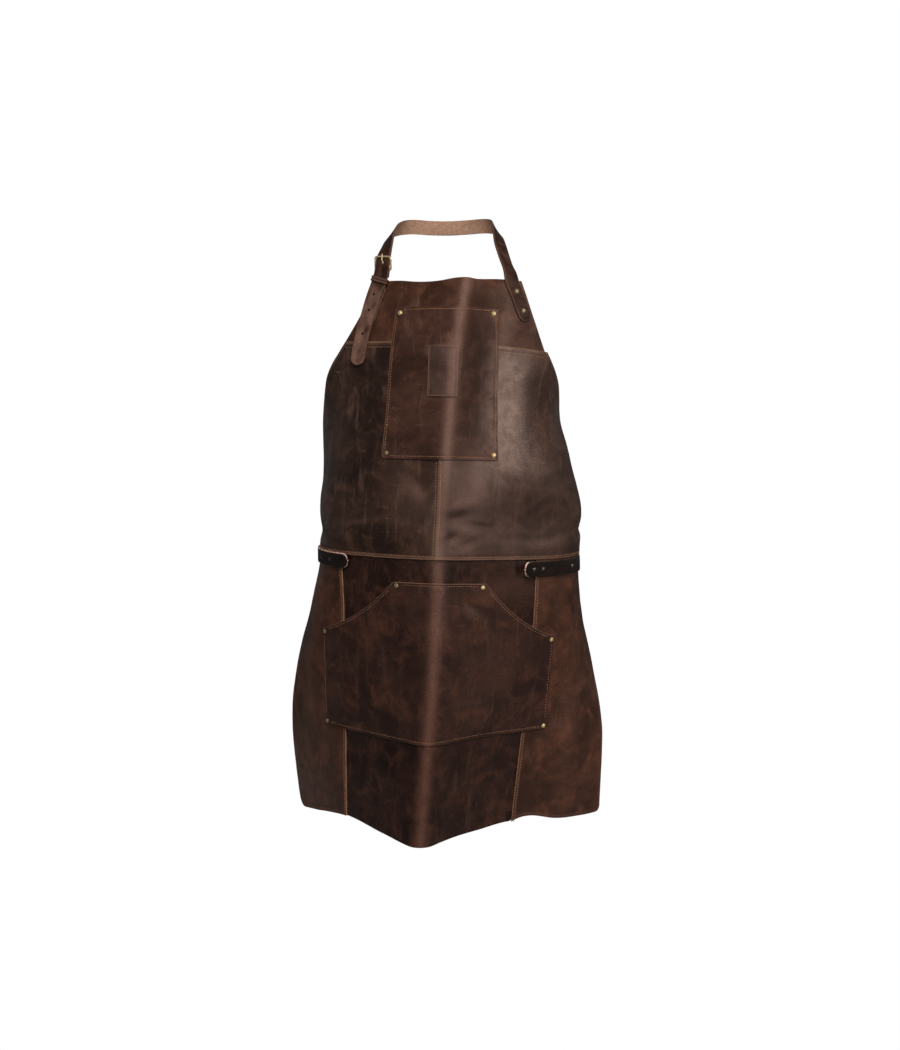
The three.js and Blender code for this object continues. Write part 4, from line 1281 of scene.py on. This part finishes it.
def free(x, y, z, *face):
    """A station off the leather, with the direction its face looks."""
    return (x, y, z), unit(np.array(face, float))


def end_rows(length, radius, cell, round_end):
    """Distances along a strap, close together over its rounded ends."""
    start = radius * (1 - np.cos(np.linspace(END_TURN_FROM, math.pi / 2, END_TURN_STEPS)[:-1]))
    end = (length - start)[::-1] if round_end else []
    high = length - radius if round_end else length
    middle = np.linspace(radius, high, math.ceil((high - radius) / cell) + 1)
    return np.concatenate([start, middle, end])


def punch(bm, distance, radius):
    """Cuts a round hole through a flat strap on its middle line."""
    middle = Vector((0, distance, 0))
    inside = [face for face in bm.faces if (face.calc_center_median() - middle).length < radius]
    bmesh.ops.delete(bm, geom=inside, context="FACES")
    for vert in bm.verts:
        from_middle = vert.co - middle
        if vert.is_boundary and from_middle.length < 2 * radius:
            vert.co = middle + from_middle.normalized() * radius
            for face in vert.link_faces:
                face.material_index = HOLE_SLOT


def tail_wear(across, along, start):
    """Patchy wear of a strap's tail, past a distance along it."""
    patches = ripples(across * TAIL_PATCH_ACROSS, along * TAIL_PATCH_ALONG, TAIL_PATCH_FINER)
    worn = np.clip(TAIL_WEAR + TAIL_PATCHES * patches, 0, 1)
    return worn * smooth(along, start, start + TAIL_WEAR_FADE)


def strap(
    name, route, width, finish, cell=STRAP_CELL, columns=STRAP_COLUMNS, round_end=False,
    holes=(), worn_tail=0.0, edge_slot=AUTO_SLOT, edge_wear=None,
):
    """A strap bent along its route, its far end square or rounded, with its holes punched."""
    hide, flesh, cut_edge = finish
    radius = width / 2
    crowded = radius * np.sin(np.linspace(-math.pi / 2, math.pi / 2, columns + 1) * COLUMN_REACH)
    even = np.linspace(-radius, radius, columns + 1)
    rows = end_rows(route.length, radius, cell, round_end)
    bm = flat_grid(lerp(crowded, even, COLUMN_EVENNESS), rows)
    for distance in holes:
        punch(bm, distance, HOLE_RADIUS)
    w, s = read_places(bm)[:, :2].T
    from_end = np.minimum(s, route.length - s) if round_end else s
    short = radius - np.clip(from_end, 0, radius)
    half = np.sqrt(np.maximum(radius**2 - short**2, 0))
    point, _, out, side = route.frames(s)
    reach = w / radius * half
    crown = STRAP_THICK / 2 - STRAP_CROWN * (w / radius) ** 4
    set_places(bm, point - side * reach[:, None] + out * crown[:, None])
    edge = np.clip(1 - (half - np.abs(reach)) / EDGE_REACH_MARK, 0, 1)
    if edge_wear:
        edge *= edge_wear(s, -side[:, 2] * reach)
    bend = np.linalg.norm(np.gradient(route.tangents, route.distances, axis=0), axis=1)
    paling = np.clip(np.interp(s, route.distances, bend) / TIGHT_BEND, 0, BEND_PULL)
    if worn_tail:
        paling = np.maximum(paling, tail_wear(reach, s, route.length - worn_tail))
    mark_leather(bm, np.stack([reach, s], 1), {"paling": paling, "edge": edge})
    mesh = finish_mesh(name, bm, hide, flesh, cut_edge, hide, flesh, SHADED_HOLE_WALL)
    piece = join_body(name + "_leather", mesh, name)
    thicken(piece, STRAP_THICK, edge_slot)


STRAP_FINISH = (STRAP_HIDE, STRAP_FLESH, SHADED_STRAP_CUT)
STRAP_SEAT = PANEL_FACE + SEAT_GAP + STRAP_THICK / 2
NECK = Route(
    [on_leather(u, h, STRAP_SEAT) for u, h in NECK_ON_YOKE]
    + [free(*row) for row in NECK_ROUTE]
    + [hanging(*row) for row in TAIL_ON_BIB]
)


def from_tip(distance):
    return NECK.frame(NECK.length - distance)


PRONG_HOLE = BUCKLE_FROM_TIP + PRONG_HOLE_AHEAD
strap(
    "neck_strap", NECK, NECK_STRAP_WIDTH, STRAP_FINISH, NECK_CELL, round_end=True,
    holes=[NECK.length - d for d in (*TAIL_HOLES, PRONG_HOLE)], worn_tail=TAIL_WEAR_LENGTH,
)


# Buckle: a wire frame whose upper bar lies in front of the strap and whose lower bar lies behind it

def metal_piece(name, bm, material, place=None):
    """Closes a bmesh of metal, puts it in its place and makes it a piece."""
    bmesh.ops.remove_doubles(bm, verts=bm.verts, dist=1e-6)
    bmesh.ops.recalc_face_normals(bm, faces=bm.faces)
    if place is not None:
        bmesh.ops.transform(bm, matrix=place, verts=bm.verts)
    join_body(name + "_metal", finish_mesh(name, bm, material), name)


def standing(point, out, up):
    """Matrix that stands a piece on a point, its +Z outwards and its +Y as near up as it goes."""
    z = Vector(out).normalized()
    x = Vector(up).cross(z).normalized()
    y = z.cross(x)
    return Matrix.Translation(point) @ Matrix((x, y, z)).transposed().to_4x4()


def buckle_bar(reach, out):
    point, _, face, _ = from_tip(BUCKLE_FROM_TIP + reach)
    return point + face * out


TOE = buckle_bar(BUCKLE_REACH, STRAP_THICK / 2 + SEAT_GAP + BUCKLE_WIRE)
HEEL = buckle_bar(-BUCKLE_REACH, -STRAP_THICK * 1.5 - SEAT_GAP * 3 - BUCKLE_WIRE)
SEAT_POINT, SEAT_ALONG, SEAT_OUT, SEAT_ACROSS = from_tip(BUCKLE_FROM_TIP)


def spin_round(bm, edges, steps):
    """Turns edges once round Z into a closed surface."""
    bmesh.ops.spin(
        bm, geom=edges, cent=(0, 0, 0), axis=(0, 0, 1), angle=math.tau, steps=steps, use_merge=True
    )


def squared(wave, squareness):
    """A sine or cosine pushed outwards, which squares a ring."""
    return math.copysign(abs(wave) ** squareness, wave)


def make_buckle_frame():
    """A ring of wire squared into a frame that leans from one bar to the other."""
    up = TOE - HEEL
    half_height = up.length / 2
    bm = bmesh.new()
    upright = Matrix.Rotation(math.pi / 2, 4, "X")
    at_ring = Matrix.Translation((BUCKLE_HALF_WIDTH, 0, 0))
    bmesh.ops.create_circle(bm, segments=BUCKLE_WIRE_SIDES, radius=BUCKLE_WIRE, matrix=at_ring @ upright)
    spin_round(bm, bm.edges[:], BUCKLE_STEPS)
    for vert in bm.verts:
        radius = math.hypot(vert.co.x, vert.co.y)
        cos, sin = vert.co.x / radius, vert.co.y / radius
        out = radius - BUCKLE_HALF_WIDTH
        vert.co.x = BUCKLE_HALF_WIDTH * squared(cos, BUCKLE_SQUARENESS) + out * cos
        vert.co.y = half_height * squared(sin, BUCKLE_SQUARENESS) + out * sin
    face = SEAT_ACROSS.cross(up).normalized()
    place = standing((TOE + HEEL) / 2, face, up)
    metal_piece("buckle_frame", bm, BUCKLE_BRASS, place)


def make_buckle_prong():
    """A prong from behind the strap, through its hole and over the upper bar, narrow at its tip."""
    up = -SEAT_ALONG
    bent = [SEAT_POINT + up * rise + SEAT_OUT * out for rise, out in PRONG_LINE]
    line = spline(bent, PRONG_STEPS)
    tangents = unit(np.gradient(line, axis=0))
    last = standing(line[0], tangents[0], SEAT_ACROSS)
    bm = bmesh.new()
    bmesh.ops.create_circle(bm, cap_ends=True, segments=PRONG_SIDES, radius=PRONG_RADIUS, matrix=last)
    face = next(iter(bm.faces))
    for point, tangent in zip(line[1:], tangents[1:]):
        face = bmesh.ops.extrude_discrete_faces(bm, faces=[face])["faces"][0]
        place = standing(point, tangent, SEAT_ACROSS)
        bmesh.ops.transform(bm, matrix=place @ last.inverted(), verts=face.verts)
        last = place
    about_tip = Matrix.Translation(-Vector(line[-1]))
    bmesh.ops.scale(bm, vec=(PRONG_TIP,) * 3, verts=face.verts, space=about_tip)
    metal_piece("buckle_prong", bm, BUCKLE_BRASS)


make_buckle_frame()
make_buckle_prong()

# Buckle strap: on the left of the yoke under the tail, turned over the buckle's lower bar
HEEL_TURN = BUCKLE_WIRE + SEAT_GAP + STRAP_THICK / 2


def heel_station(angle, up_strap=0.0):
    face = SEAT_OUT * math.cos(angle) - SEAT_ALONG * math.sin(angle)
    return HEEL + face * HEEL_TURN - SEAT_ALONG * up_strap, face


def under_tail(distance):
    point, _, out, _ = from_tip(distance)
    return point - out * (STRAP_THICK + SEAT_GAP), out


BUCKLE_ROUTE = Route(
    [on_leather(u, h, STRAP_SEAT) for u, h in BUCKLE_STRAP_ON_YOKE]
    + [under_tail(KEEPER_FROM_TIP)]
    + [heel_station(turn * math.pi) for turn in (0, 0.25, 0.5, 0.75, 1)]
    + [heel_station(math.pi, -HEEL_FLAP)]
)
strap("buckle_strap", BUCKLE_ROUTE, BUCKLE_STRAP_WIDTH, STRAP_FINISH, NECK_CELL)


def make_keeper():
    """A leather band round the tail and the buckle strap, with a ridge along each side."""
    half_wide = NECK_STRAP_WIDTH / 2 + SEAT_GAP + KEEPER_WALL
    half_deep = STRAP_THICK + SEAT_GAP * 4 + KEEPER_WALL
    point, along, out, _ = from_tip(KEEPER_FROM_TIP)
    bm = bmesh.new()
    bmesh.ops.create_circle(bm, segments=KEEPER_SIDES, radius=1)
    edges = bm.edges[:]
    for _ in range(KEEPER_STEPS):
        grown = bmesh.ops.extrude_edge_only(bm, edges=edges)["geom"]
        edges = [item for item in grown if isinstance(item, bmesh.types.BMEdge)]
        lifted = [item for item in grown if isinstance(item, bmesh.types.BMVert)]
        bmesh.ops.translate(bm, vec=(0, 0, 1 / KEEPER_STEPS), verts=lifted)
    for vert in bm.verts:
        cos, sin, share = vert.co
        ridge = KEEPER_RIDGE * (1 - math.cos(share * math.tau * KEEPER_RIDGES)) / 2
        vert.co.x = (half_wide + ridge) * squared(cos, KEEPER_WIDE_SQUARENESS)
        vert.co.y = (half_deep + ridge) * squared(sin, KEEPER_DEEP_SQUARENESS)
        vert.co.z = (share - 0.5) * KEEPER_LENGTH
    bmesh.ops.recalc_face_normals(bm, faces=bm.faces)
    flat = read_places(bm)
    turn = flat[:, 2] / KEEPER_LENGTH * math.tau * KEEPER_RIDGES
    crest = (1 - np.cos(turn)) / 2
    marks = {"paling": KEEPER_PULL + KEEPER_CREST_PULL * crest, "edge": np.zeros(len(flat))}
    mark_leather(bm, flat[:, [0, 2]], marks)
    seat = point - out * (STRAP_THICK + SEAT_GAP) / 2
    bmesh.ops.transform(bm, matrix=standing(seat, along, out), verts=bm.verts)
    mesh = finish_mesh("keeper_loop", bm, STRAP_HIDE, STRAP_FLESH, STRAP_HIDE)
    piece = join_body("keeper_loop_leather", mesh, "keeper_loop")
    thicken(piece, KEEPER_WALL)


make_keeper()


# Rivets

def spin_profile(bm, profile, steps):
    """Turns a line of (radius, height) points about Z."""
    verts = [bm.verts.new((radius, 0, height)) for radius, height in profile]
    edges = [bm.edges.new(pair) for pair in zip(verts, verts[1:])]
    spin_round(bm, edges, steps)


RIVET_CAP = (
    # share of the radius, share of the rise
    (0.98, 0.0), (1.04, 0.06), (1.04, 0.16), (0.98, 0.24), (0.94, 0.30), (0.84, 0.52),
    (0.68, 0.74), (0.48, 0.90), (0.26, 0.97), (0.0, 1.0),
)
RIVET_BACK = (
    # share of the radius, height below the flesh side
    (0.0, 0.0006), (0.35, 0.0007), (0.72, 0.0006), (0.86, 0.0003), (0.86, -0.0002), (0.34, -0.0002),
)


def rivet(name, point, out, material, depth, radius=RIVET_RADIUS, rise=RIVET_RISE):
    """A domed cap with a thin rim on the leather, its post, and the flat head on the flesh side."""
    back = [(radius * share, -depth - drop) for share, drop in RIVET_BACK]
    cap = [(radius * share, rise * height) for share, height in RIVET_CAP]
    bm = bmesh.new()
    spin_profile(bm, [*back, (back[-1][0], 0), *cap], RIVET_STEPS)
    metal_piece(name, bm, material, standing(Vector(point), Vector(out), (0, 0, 1)))


def through(u, h, lift):
    """Depth of the leather under a lift, down to the flesh side of the innermost layer."""
    return lift - float(inner_lift(u, h)) + HIDE_THICK


def pattern_rivet(name, u, h, lift, material, radius):
    """A rivet at a place on the pattern, through a panel with its lift."""
    height = float(lift(np.array(u), np.array(h)))
    point, normal = on_leather(u, h, height + PANEL_FACE)
    rise = RIVET_RISE * radius / RIVET_RADIUS
    rivet(name, point, normal, material, through(u, h, height), radius, rise)


# Waist straps: on the skirt just under the bib, then round to the back

def waist_route(side, tip):
    """A waist strap from its tip, curled off the skirt, round the side to the clasp."""
    height = WAIST_STRAP_H[side]
    edge = float(half_width(height))
    count = round((edge - abs(tip)) / WAIST_STEP) + 1
    near_tip = [tip + side * step for step in WAIST_CURL_STEPS]
    lift = PANEL_FACE + WAIST_GAP + WAIST_OVER_BIB[side] + STRAP_THICK / 2
    places = np.array([*near_tip, *np.linspace(tip, side * edge, count)[1:]])
    curl = WAIST_TIP_CURL[side] * np.exp(-np.abs(places - tip) / WAIST_CURL_REACH)
    rises = lift + skirt_rise(places) + curl
    seats = [on_leather(u, height, float(rise)) for u, rise in zip(places, rises)]
    on_skirt = [(point, normal - np.array((0, 0, WAIST_TILT[side]))) for point, normal in seats]
    behind = [free(side * x, y, z, side * fx, fy, fz) for x, y, z, fx, fy, fz in WAIST_BACK]
    return Route(on_skirt + behind)


def tip_wear(s, up):
    """Share of an edge's wear that shows: all of it round the strap's tip, less further on."""
    return lerp(WAIST_PLAIN_WEAR, 1, np.exp(-((s / WAIST_TIP_WEAR) ** 4)))


def top_wear(s, up):
    """Wear that shows round the strap's tip and all along its upper edge."""
    return np.where(up > 0, 1.0, tip_wear(s, up))


for name, side, tip, rivets, wear in (
    ("left", -1, WAIST_LEFT_TIP, LEFT_WAIST_RIVETS, top_wear),
    ("right", 1, WAIST_RIGHT_TIP, RIGHT_WAIST_RIVETS, tip_wear),
):
    route = waist_route(side, tip)
    strap(
        "waist_strap_" + name, route, WAIST_STRAP_WIDTH, (WAIST_HIDE, WAIST_FLESH, WAIST_EDGES[name]),
        columns=WAIST_COLUMNS, edge_slot=CUT_SLOT, edge_wear=wear,
    )
    for place, inset in rivets:
        point, _, out, _ = route.frame(inset)
        u = tip + side * inset
        stack = float(skirt_rise(u)) + WAIST_GAP + WAIST_OVER_BIB[side] + STRAP_THICK
        depth = through(u, WAIST_STRAP_H[side], stack)
        seat = point + out * STRAP_THICK / 2
        rivet(
            f"waist_rivet_{name}_{place}", seat, out, DULL_METAL, depth,
            WAIST_RIVET_RADIUS, WAIST_RIVET_RISE,
        )

# Rivets of the chest pocket, the hand pocket and the neck strap
for end, level, half in (
    ("upper", CHEST_TOP - CHEST_RIVET_INSET, CHEST_HALF_TOP),
    ("lower", CHEST_BOTTOM + CHEST_RIVET_INSET, CHEST_HALF_BOTTOM),
):
    for side, sign in (("left", -1), ("right", 1)):
        # The lower left rivet takes the darker brass as painted shade
        dulled = (end, side) == ("lower", "left")
        brass, radius = (AGED_AND_SHADED_BRASS, HAND_RIVET_RADIUS) if dulled else (RIVET_BRASS, RIVET_RADIUS)
        across = sign * (half - CHEST_RIVET_INSET)
        pattern_rivet(f"chest_rivet_{end}_{side}", across, level, chest_lift, brass, radius)

for side, sign, corner, far in (
    ("left", 1, HAND_LEFT_CORNER, HAND_LEFT),
    ("right", -1, HAND_RIGHT_CORNER, HAND_RIGHT),
):
    beside = far + sign * HAND_RIVET_INSET
    # The left rivets take the darker brass as painted shade
    finish = (AGED_AND_SHADED_BRASS if side == "left" else RIVET_BRASS, HAND_RIVET_RADIUS)
    for end, u, h in (
        ("upper", corner + sign * HAND_RIVET_INSET, HAND_TOP - HAND_RIVET_INSET),
        ("mouth", beside, HAND_MOUTH_END - HAND_RIVET_INSET),
        ("lower", beside, float(hand_lower(np.array(beside))) + HAND_RIVET_INSET - HAND_RIVET_DROP),
    ):
        pattern_rivet(f"hand_rivet_{end}_{side}", u, h, hand_lift, *finish)

for name, (u, h) in (("neck_rivet_lower", NECK_ON_YOKE[1]), ("neck_rivet_upper", NECK_ON_YOKE[2])):
    point, normal = on_leather(u, h, STRAP_SEAT + STRAP_THICK / 2)
    rivet(name, point, normal, AGED_AND_SHADED_BRASS, SEAT_GAP + STRAP_THICK + HIDE_THICK)


# Clasp

def round_edges(bm, edges, offset, segments):
    bmesh.ops.bevel(
        bm, geom=edges, offset=offset, affect="EDGES", segments=segments, profile=0.5, material=-1
    )


def make_clasp():
    """A plain rounded clasp plate with a raised rim, closing the waist straps behind."""
    low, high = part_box("waist_clasp")
    bm = bmesh.new()
    bmesh.ops.create_cube(bm, size=1, matrix=Matrix.LocRotScale((low + high) / 2, None, high - low))
    upright = [edge for edge in bm.edges if abs((edge.verts[0].co - edge.verts[1].co).y) > CLASP_THIN]
    round_edges(bm, upright, CLASP_CORNER, 5)
    for face in [face for face in bm.faces if abs(face.normal.y) > CLASP_FACING]:
        bmesh.ops.inset_region(bm, faces=[face], thickness=CLASP_RIM, depth=0)
        bmesh.ops.inset_region(bm, faces=[face], thickness=CLASP_STEP, depth=-CLASP_SINK)
    sharp = [edge for edge in bm.edges if edge.calc_face_angle(0) > CLASP_SHARP]
    round_edges(bm, sharp, CLASP_EASE, 2)
    bmesh.ops.recalc_face_normals(bm, faces=bm.faces)
    mesh = finish_mesh("waist_clasp", bm, CLASP_PLASTIC)
    join_body("waist_clasp_plate", mesh, "waist_clasp")


make_clasp()


# Stitching

def stitch_row(joined, u, h, lift, face):
    """Adds the stitches along a line of the pattern, on the grain side (face 1) or the flesh side (-1)."""
    bm = bmesh.new()
    u, h = np.broadcast_arrays(np.asarray(u, float), np.asarray(h, float))
    level = PANEL_FACE - GROOVE_DEPTH if face > 0 else PANEL_FACE - HIDE_THICK
    points, normals = worn_at(u, h, lift(u, h) + level)
    walked = np.concatenate([[0], np.cumsum(np.linalg.norm(np.diff(points, axis=0), axis=1))])
    count = round(walked[-1] / STITCH_PITCH)
    size = Matrix.Diagonal((STITCH_WIDTH / 2, STITCH_HEIGHT / 2, STITCH_LENGTH / 2, 1))
    for i in range(count):
        middle = (i + 0.5) * walked[-1] / count
        near = (middle - STITCH_STEP, middle, middle + STITCH_STEP)
        back, point, ahead = (Vector([np.interp(s, walked, axis) for axis in points.T]) for s in near)
        out = face * Vector([np.interp(middle, walked, axis) for axis in normals.T]).normalized()
        along = Matrix.Rotation(STITCH_SLANT, 3, out) @ (ahead - back).normalized()
        place = standing(point + out * STITCH_HEIGHT * STITCH_PROUD, along, out)
        bmesh.ops.create_uvsphere(bm, u_segments=6, v_segments=4, radius=1, matrix=place @ size)
    row = bpy.data.meshes.new("stitch_row")
    bm.to_mesh(row)
    bm.free()
    joined.from_mesh(row)
    bpy.data.meshes.remove(row)


def stitching(name, rows, thread, inside):
    """The stitch rows of one piece as one mesh of thread, with the rows that show on the flesh side."""
    bm = bmesh.new()
    for u, h, lift in rows:
        stitch_row(bm, u, h, lift, 1)
    for u, h, *_ in inside:
        stitch_row(bm, u, h, inner_lift, -1)
    join_body(name + "_stitching", finish_mesh(name + "_stitching", bm, thread), None)


def spaced(start, end, count=ROW_POINTS):
    return np.linspace(start, end, count)


def yoke_rows(start, end, lift):
    across = spaced(start, end)
    return [(across, yoke_line(across) - inset, lift) for inset in YOKE_ROWS]


def stitch_yoke_seam():
    end = float(half_width(YOKE_SEAM)) - YOKE_ROW_CLEAR
    pocket = CHEST_HALF_TOP + POCKET_CLEAR
    rows = yoke_rows(-end, -pocket, bib_lift) + yoke_rows(pocket, end, right_bib_lift)
    stitching("yoke_seam", rows, THREAD, yoke_rows(-end, end, inner_lift))


def stitch_bib_seam():
    heights = spaced(CHEST_BOTTOM - SEAM_ROW_START, WAIST_SEAM + SEAM_ROW_STOP)
    behind = spaced(YOKE_SEAM - SEAM_LAP, WAIST_SEAM + SEAM_LAP)
    rows = [(-CENTRE_ROW, heights, bib_lift), (CENTRE_ROW, heights, right_bib_lift)]
    stitching("bib_seam", rows, THREAD, [(-CENTRE_ROW, behind), (CENTRE_ROW, behind)])


def stitch_waist_seam():
    height = WAIST_SEAM + STITCH_INSET
    end = float(half_width(height)) - WAIST_ROW_CLEAR
    left = spaced(-end, WAIST_ROW_STARTS[-1], LONG_ROW_POINTS)
    right = spaced(WAIST_ROW_STARTS[1], end, LONG_ROW_POINTS)
    rows = [(left, height, bib_lift), (right, height, right_bib_lift)]
    stitching("waist_seam", rows, THREAD, rows)


def stitch_skirt_seams():
    heights = spaced(WAIST_STRAP_H[-1] - SKIRT_ROW_START, HEM + SKIRT_ROW_STOP, LONG_ROW_POINTS)
    rows = [(side * (SKIRT_SEAM + STITCH_INSET), heights, side_lift) for side in (-1, 1)]
    stitching("skirt_seam", rows, THREAD, rows)


def stitch_chest_pocket():
    heights = spaced(CHEST_TOP - CORNER_CLEAR, CHEST_BOTTOM + CORNER_CLEAR)
    bottom = spaced(-CHEST_HALF_BOTTOM + CORNER_CLEAR, CHEST_HALF_BOTTOM - CORNER_CLEAR)
    top = spaced(-CHEST_HALF_TOP + CORNER_CLEAR, CHEST_HALF_TOP - CORNER_CLEAR)
    sewn = [
        (-chest_half(heights) + STITCH_INSET, heights, chest_lift),
        (chest_half(heights) - STITCH_INSET, heights, chest_lift),
        (bottom, CHEST_BOTTOM + STITCH_INSET, chest_lift),
    ]
    mouth = (top, CHEST_TOP - STITCH_INSET, chest_lift)
    stitching("chest_pocket", [*sewn, mouth], THREAD, sewn)


def stitch_chest_patch():
    left, right = PATCH_LEFT + PATCH_ROW, PATCH_RIGHT - PATCH_ROW
    top, bottom = PATCH_TOP - PATCH_ROW, PATCH_BOTTOM + PATCH_ROW
    across = spaced(left, right)
    down = spaced(top, bottom)
    rows = [(left, down), (right, down), (across, top), (across, bottom)]
    stitching("chest_patch", [(u, h, patch_lift) for u, h in rows], PATCH_THREAD, ())


def inside_mouth(mouth):
    """The mouth's edge moved into the pocket by the stitch inset, clear of its rivets."""
    points = np.stack(mouth, 1)
    along = unit(np.gradient(points, axis=0))
    inward = np.stack([along[:, 1], -along[:, 0]], 1)
    inward *= -np.sign(inward[:, 1:])
    moved = points + inward * STITCH_INSET
    return moved[MOUTH_POINTS_CLEAR:-MOUTH_POINTS_CLEAR].T


def stitch_hand_pocket():
    def down(side):
        lowest = float(hand_lower(np.array(side)))
        return spaced(HAND_MOUTH_END - CORNER_CLEAR, lowest + HAND_ROW_STOP)

    bottom = spaced(HAND_LEFT + CORNER_CLEAR, HAND_RIGHT - CORNER_CLEAR, LONG_ROW_POINTS)
    top = spaced(HAND_LEFT_CORNER + CORNER_CLEAR, HAND_RIGHT_CORNER - CORNER_CLEAR)
    sewn = [
        (HAND_LEFT + STITCH_INSET, down(HAND_LEFT), hand_lift),
        (HAND_RIGHT - STITCH_INSET, down(HAND_RIGHT), hand_lift),
        (bottom, hand_lower(bottom) + STITCH_INSET, hand_lift),
        (top, HAND_TOP - STITCH_INSET, hand_lift),
    ]
    mouths = [(*inside_mouth(mouth), hand_lift) for mouth in (LEFT_MOUTH, RIGHT_MOUTH)]
    stitching("hand_pocket", sewn + mouths, POCKET_THREAD, sewn)


stitch_yoke_seam()
stitch_bib_seam()
stitch_waist_seam()
stitch_skirt_seams()
stitch_chest_pocket()
stitch_chest_patch()
stitch_hand_pocket()


# Studio: pale floor, soft light and the camera

FLOOR_LEVEL = -1.45
FLOOR_RADIUS = 14.0
EYE = (0, -2.175, -0.286)
LENS = 50
SENSOR = 36
FRAME_DROP = -0.1
AMBIENT = 0.12
LIGHTS = (
    # name, place, target, size, power, color, whether it gives a sheen
    ("key", (2.0, -1.34, 0.36), (0.03, -0.15, -0.36), (1.2, 1.1), 23, (1.0, 0.95, 0.90), True),
    ("front", (0.10, -2.10, 1.30), (0, -0.12, -0.45), (1.2, 0.8), 66, (1.0, 0.97, 0.94), False),
    ("glint", (0.12, -2.9, -0.10), (0, -0.15, -0.45), (0.16, 0.9), 9.5, (1.0, 0.97, 0.94), True),
    ("left_fill", (-2.2, -1.2, 0.3), (0, -0.05, -0.45), (1.4, 1.6), 12, (1.0, 0.97, 0.94), False),
    ("back", (0.3, 2.3, 0.9), (0, 0.0, -0.45), (1.6, 1.6), 45, (1.0, 0.98, 0.95), False),
)


def by_ray(tree, lit, seen):
    """One shader for the light that falls on the part, and another for what the camera itself sees."""
    camera_ray = add_node(tree, "ShaderNodeLightPath").outputs["Is Camera Ray"]
    inputs = {0: camera_ray, 1: lit.outputs[0], 2: seen.outputs[0]}
    return add_node(tree, "ShaderNodeMixShader", inputs).outputs[0]


def make_floor():
    """A pale floor that runs into the backdrop without a line."""
    material, tree, principled = new_material("pale_floor", Roughness=0.9, Specular_IOR_Level=0.1)
    vector = object_places(tree)
    drift = clouds(tree, vector, 2.0, 2.0, 0.5)
    tone = mix(tree, mask(tree, drift, 0.3, 0.7), (0.20, 0.20, 0.20, 1), (0.24, 0.24, 0.24, 1))
    tree.links.new(tone, principled.inputs["Base Color"])
    glow = add_node(tree, "ShaderNodeEmission", {"Color": (1, 1, 1, 1), "Strength": 1.0})
    tree.links.new(by_ray(tree, principled, glow), tree.nodes["Material Output"].inputs["Surface"])
    bm = bmesh.new()
    level = Matrix.Translation((0, 0, FLOOR_LEVEL))
    bmesh.ops.create_circle(bm, cap_ends=True, segments=96, radius=FLOOR_RADIUS, matrix=level)
    floor = bpy.data.objects.new("floor", finish_mesh("floor", bm, material))
    bpy.context.scene.collection.objects.link(floor)


def softbox(name, place, target, size, power, color, sheen):
    lamp = bpy.data.lights.new(name, "AREA")
    lamp.shape = "RECTANGLE"
    lamp.size, lamp.size_y = size
    lamp.energy = power
    lamp.color = color
    box = bpy.data.objects.new(name, lamp)
    box.location = place
    box.visible_glossy = sheen
    box.rotation_euler = (Vector(target) - Vector(place)).to_track_quat("-Z", "Y").to_euler()
    bpy.context.scene.collection.objects.link(box)


def make_world():
    world = bpy.data.worlds.new("studio")
    world.use_nodes = True
    tree = world.node_tree
    tree.nodes.clear()
    ambient = add_node(tree, "ShaderNodeBackground", {"Color": (1, 1, 1, 1), "Strength": AMBIENT})
    backdrop = add_node(tree, "ShaderNodeBackground", {"Color": (1, 1, 1, 1), "Strength": 1.0})
    add_node(tree, "ShaderNodeOutputWorld", {"Surface": by_ray(tree, ambient, backdrop)})
    bpy.context.scene.world = world


def make_camera():
    lens = bpy.data.cameras.new("camera")
    lens.lens = LENS
    lens.sensor_width = SENSOR
    lens.shift_y = FRAME_DROP
    camera = bpy.data.objects.new("camera", lens)
    camera.location = EYE
    camera.rotation_euler = (math.pi / 2, 0, 0)
    bpy.context.scene.collection.objects.link(camera)
    bpy.context.scene.camera = camera


make_floor()
make_world()
for light in LIGHTS:
    softbox(*light)
make_camera()
bpy.context.scene.view_settings.view_transform = "Standard"
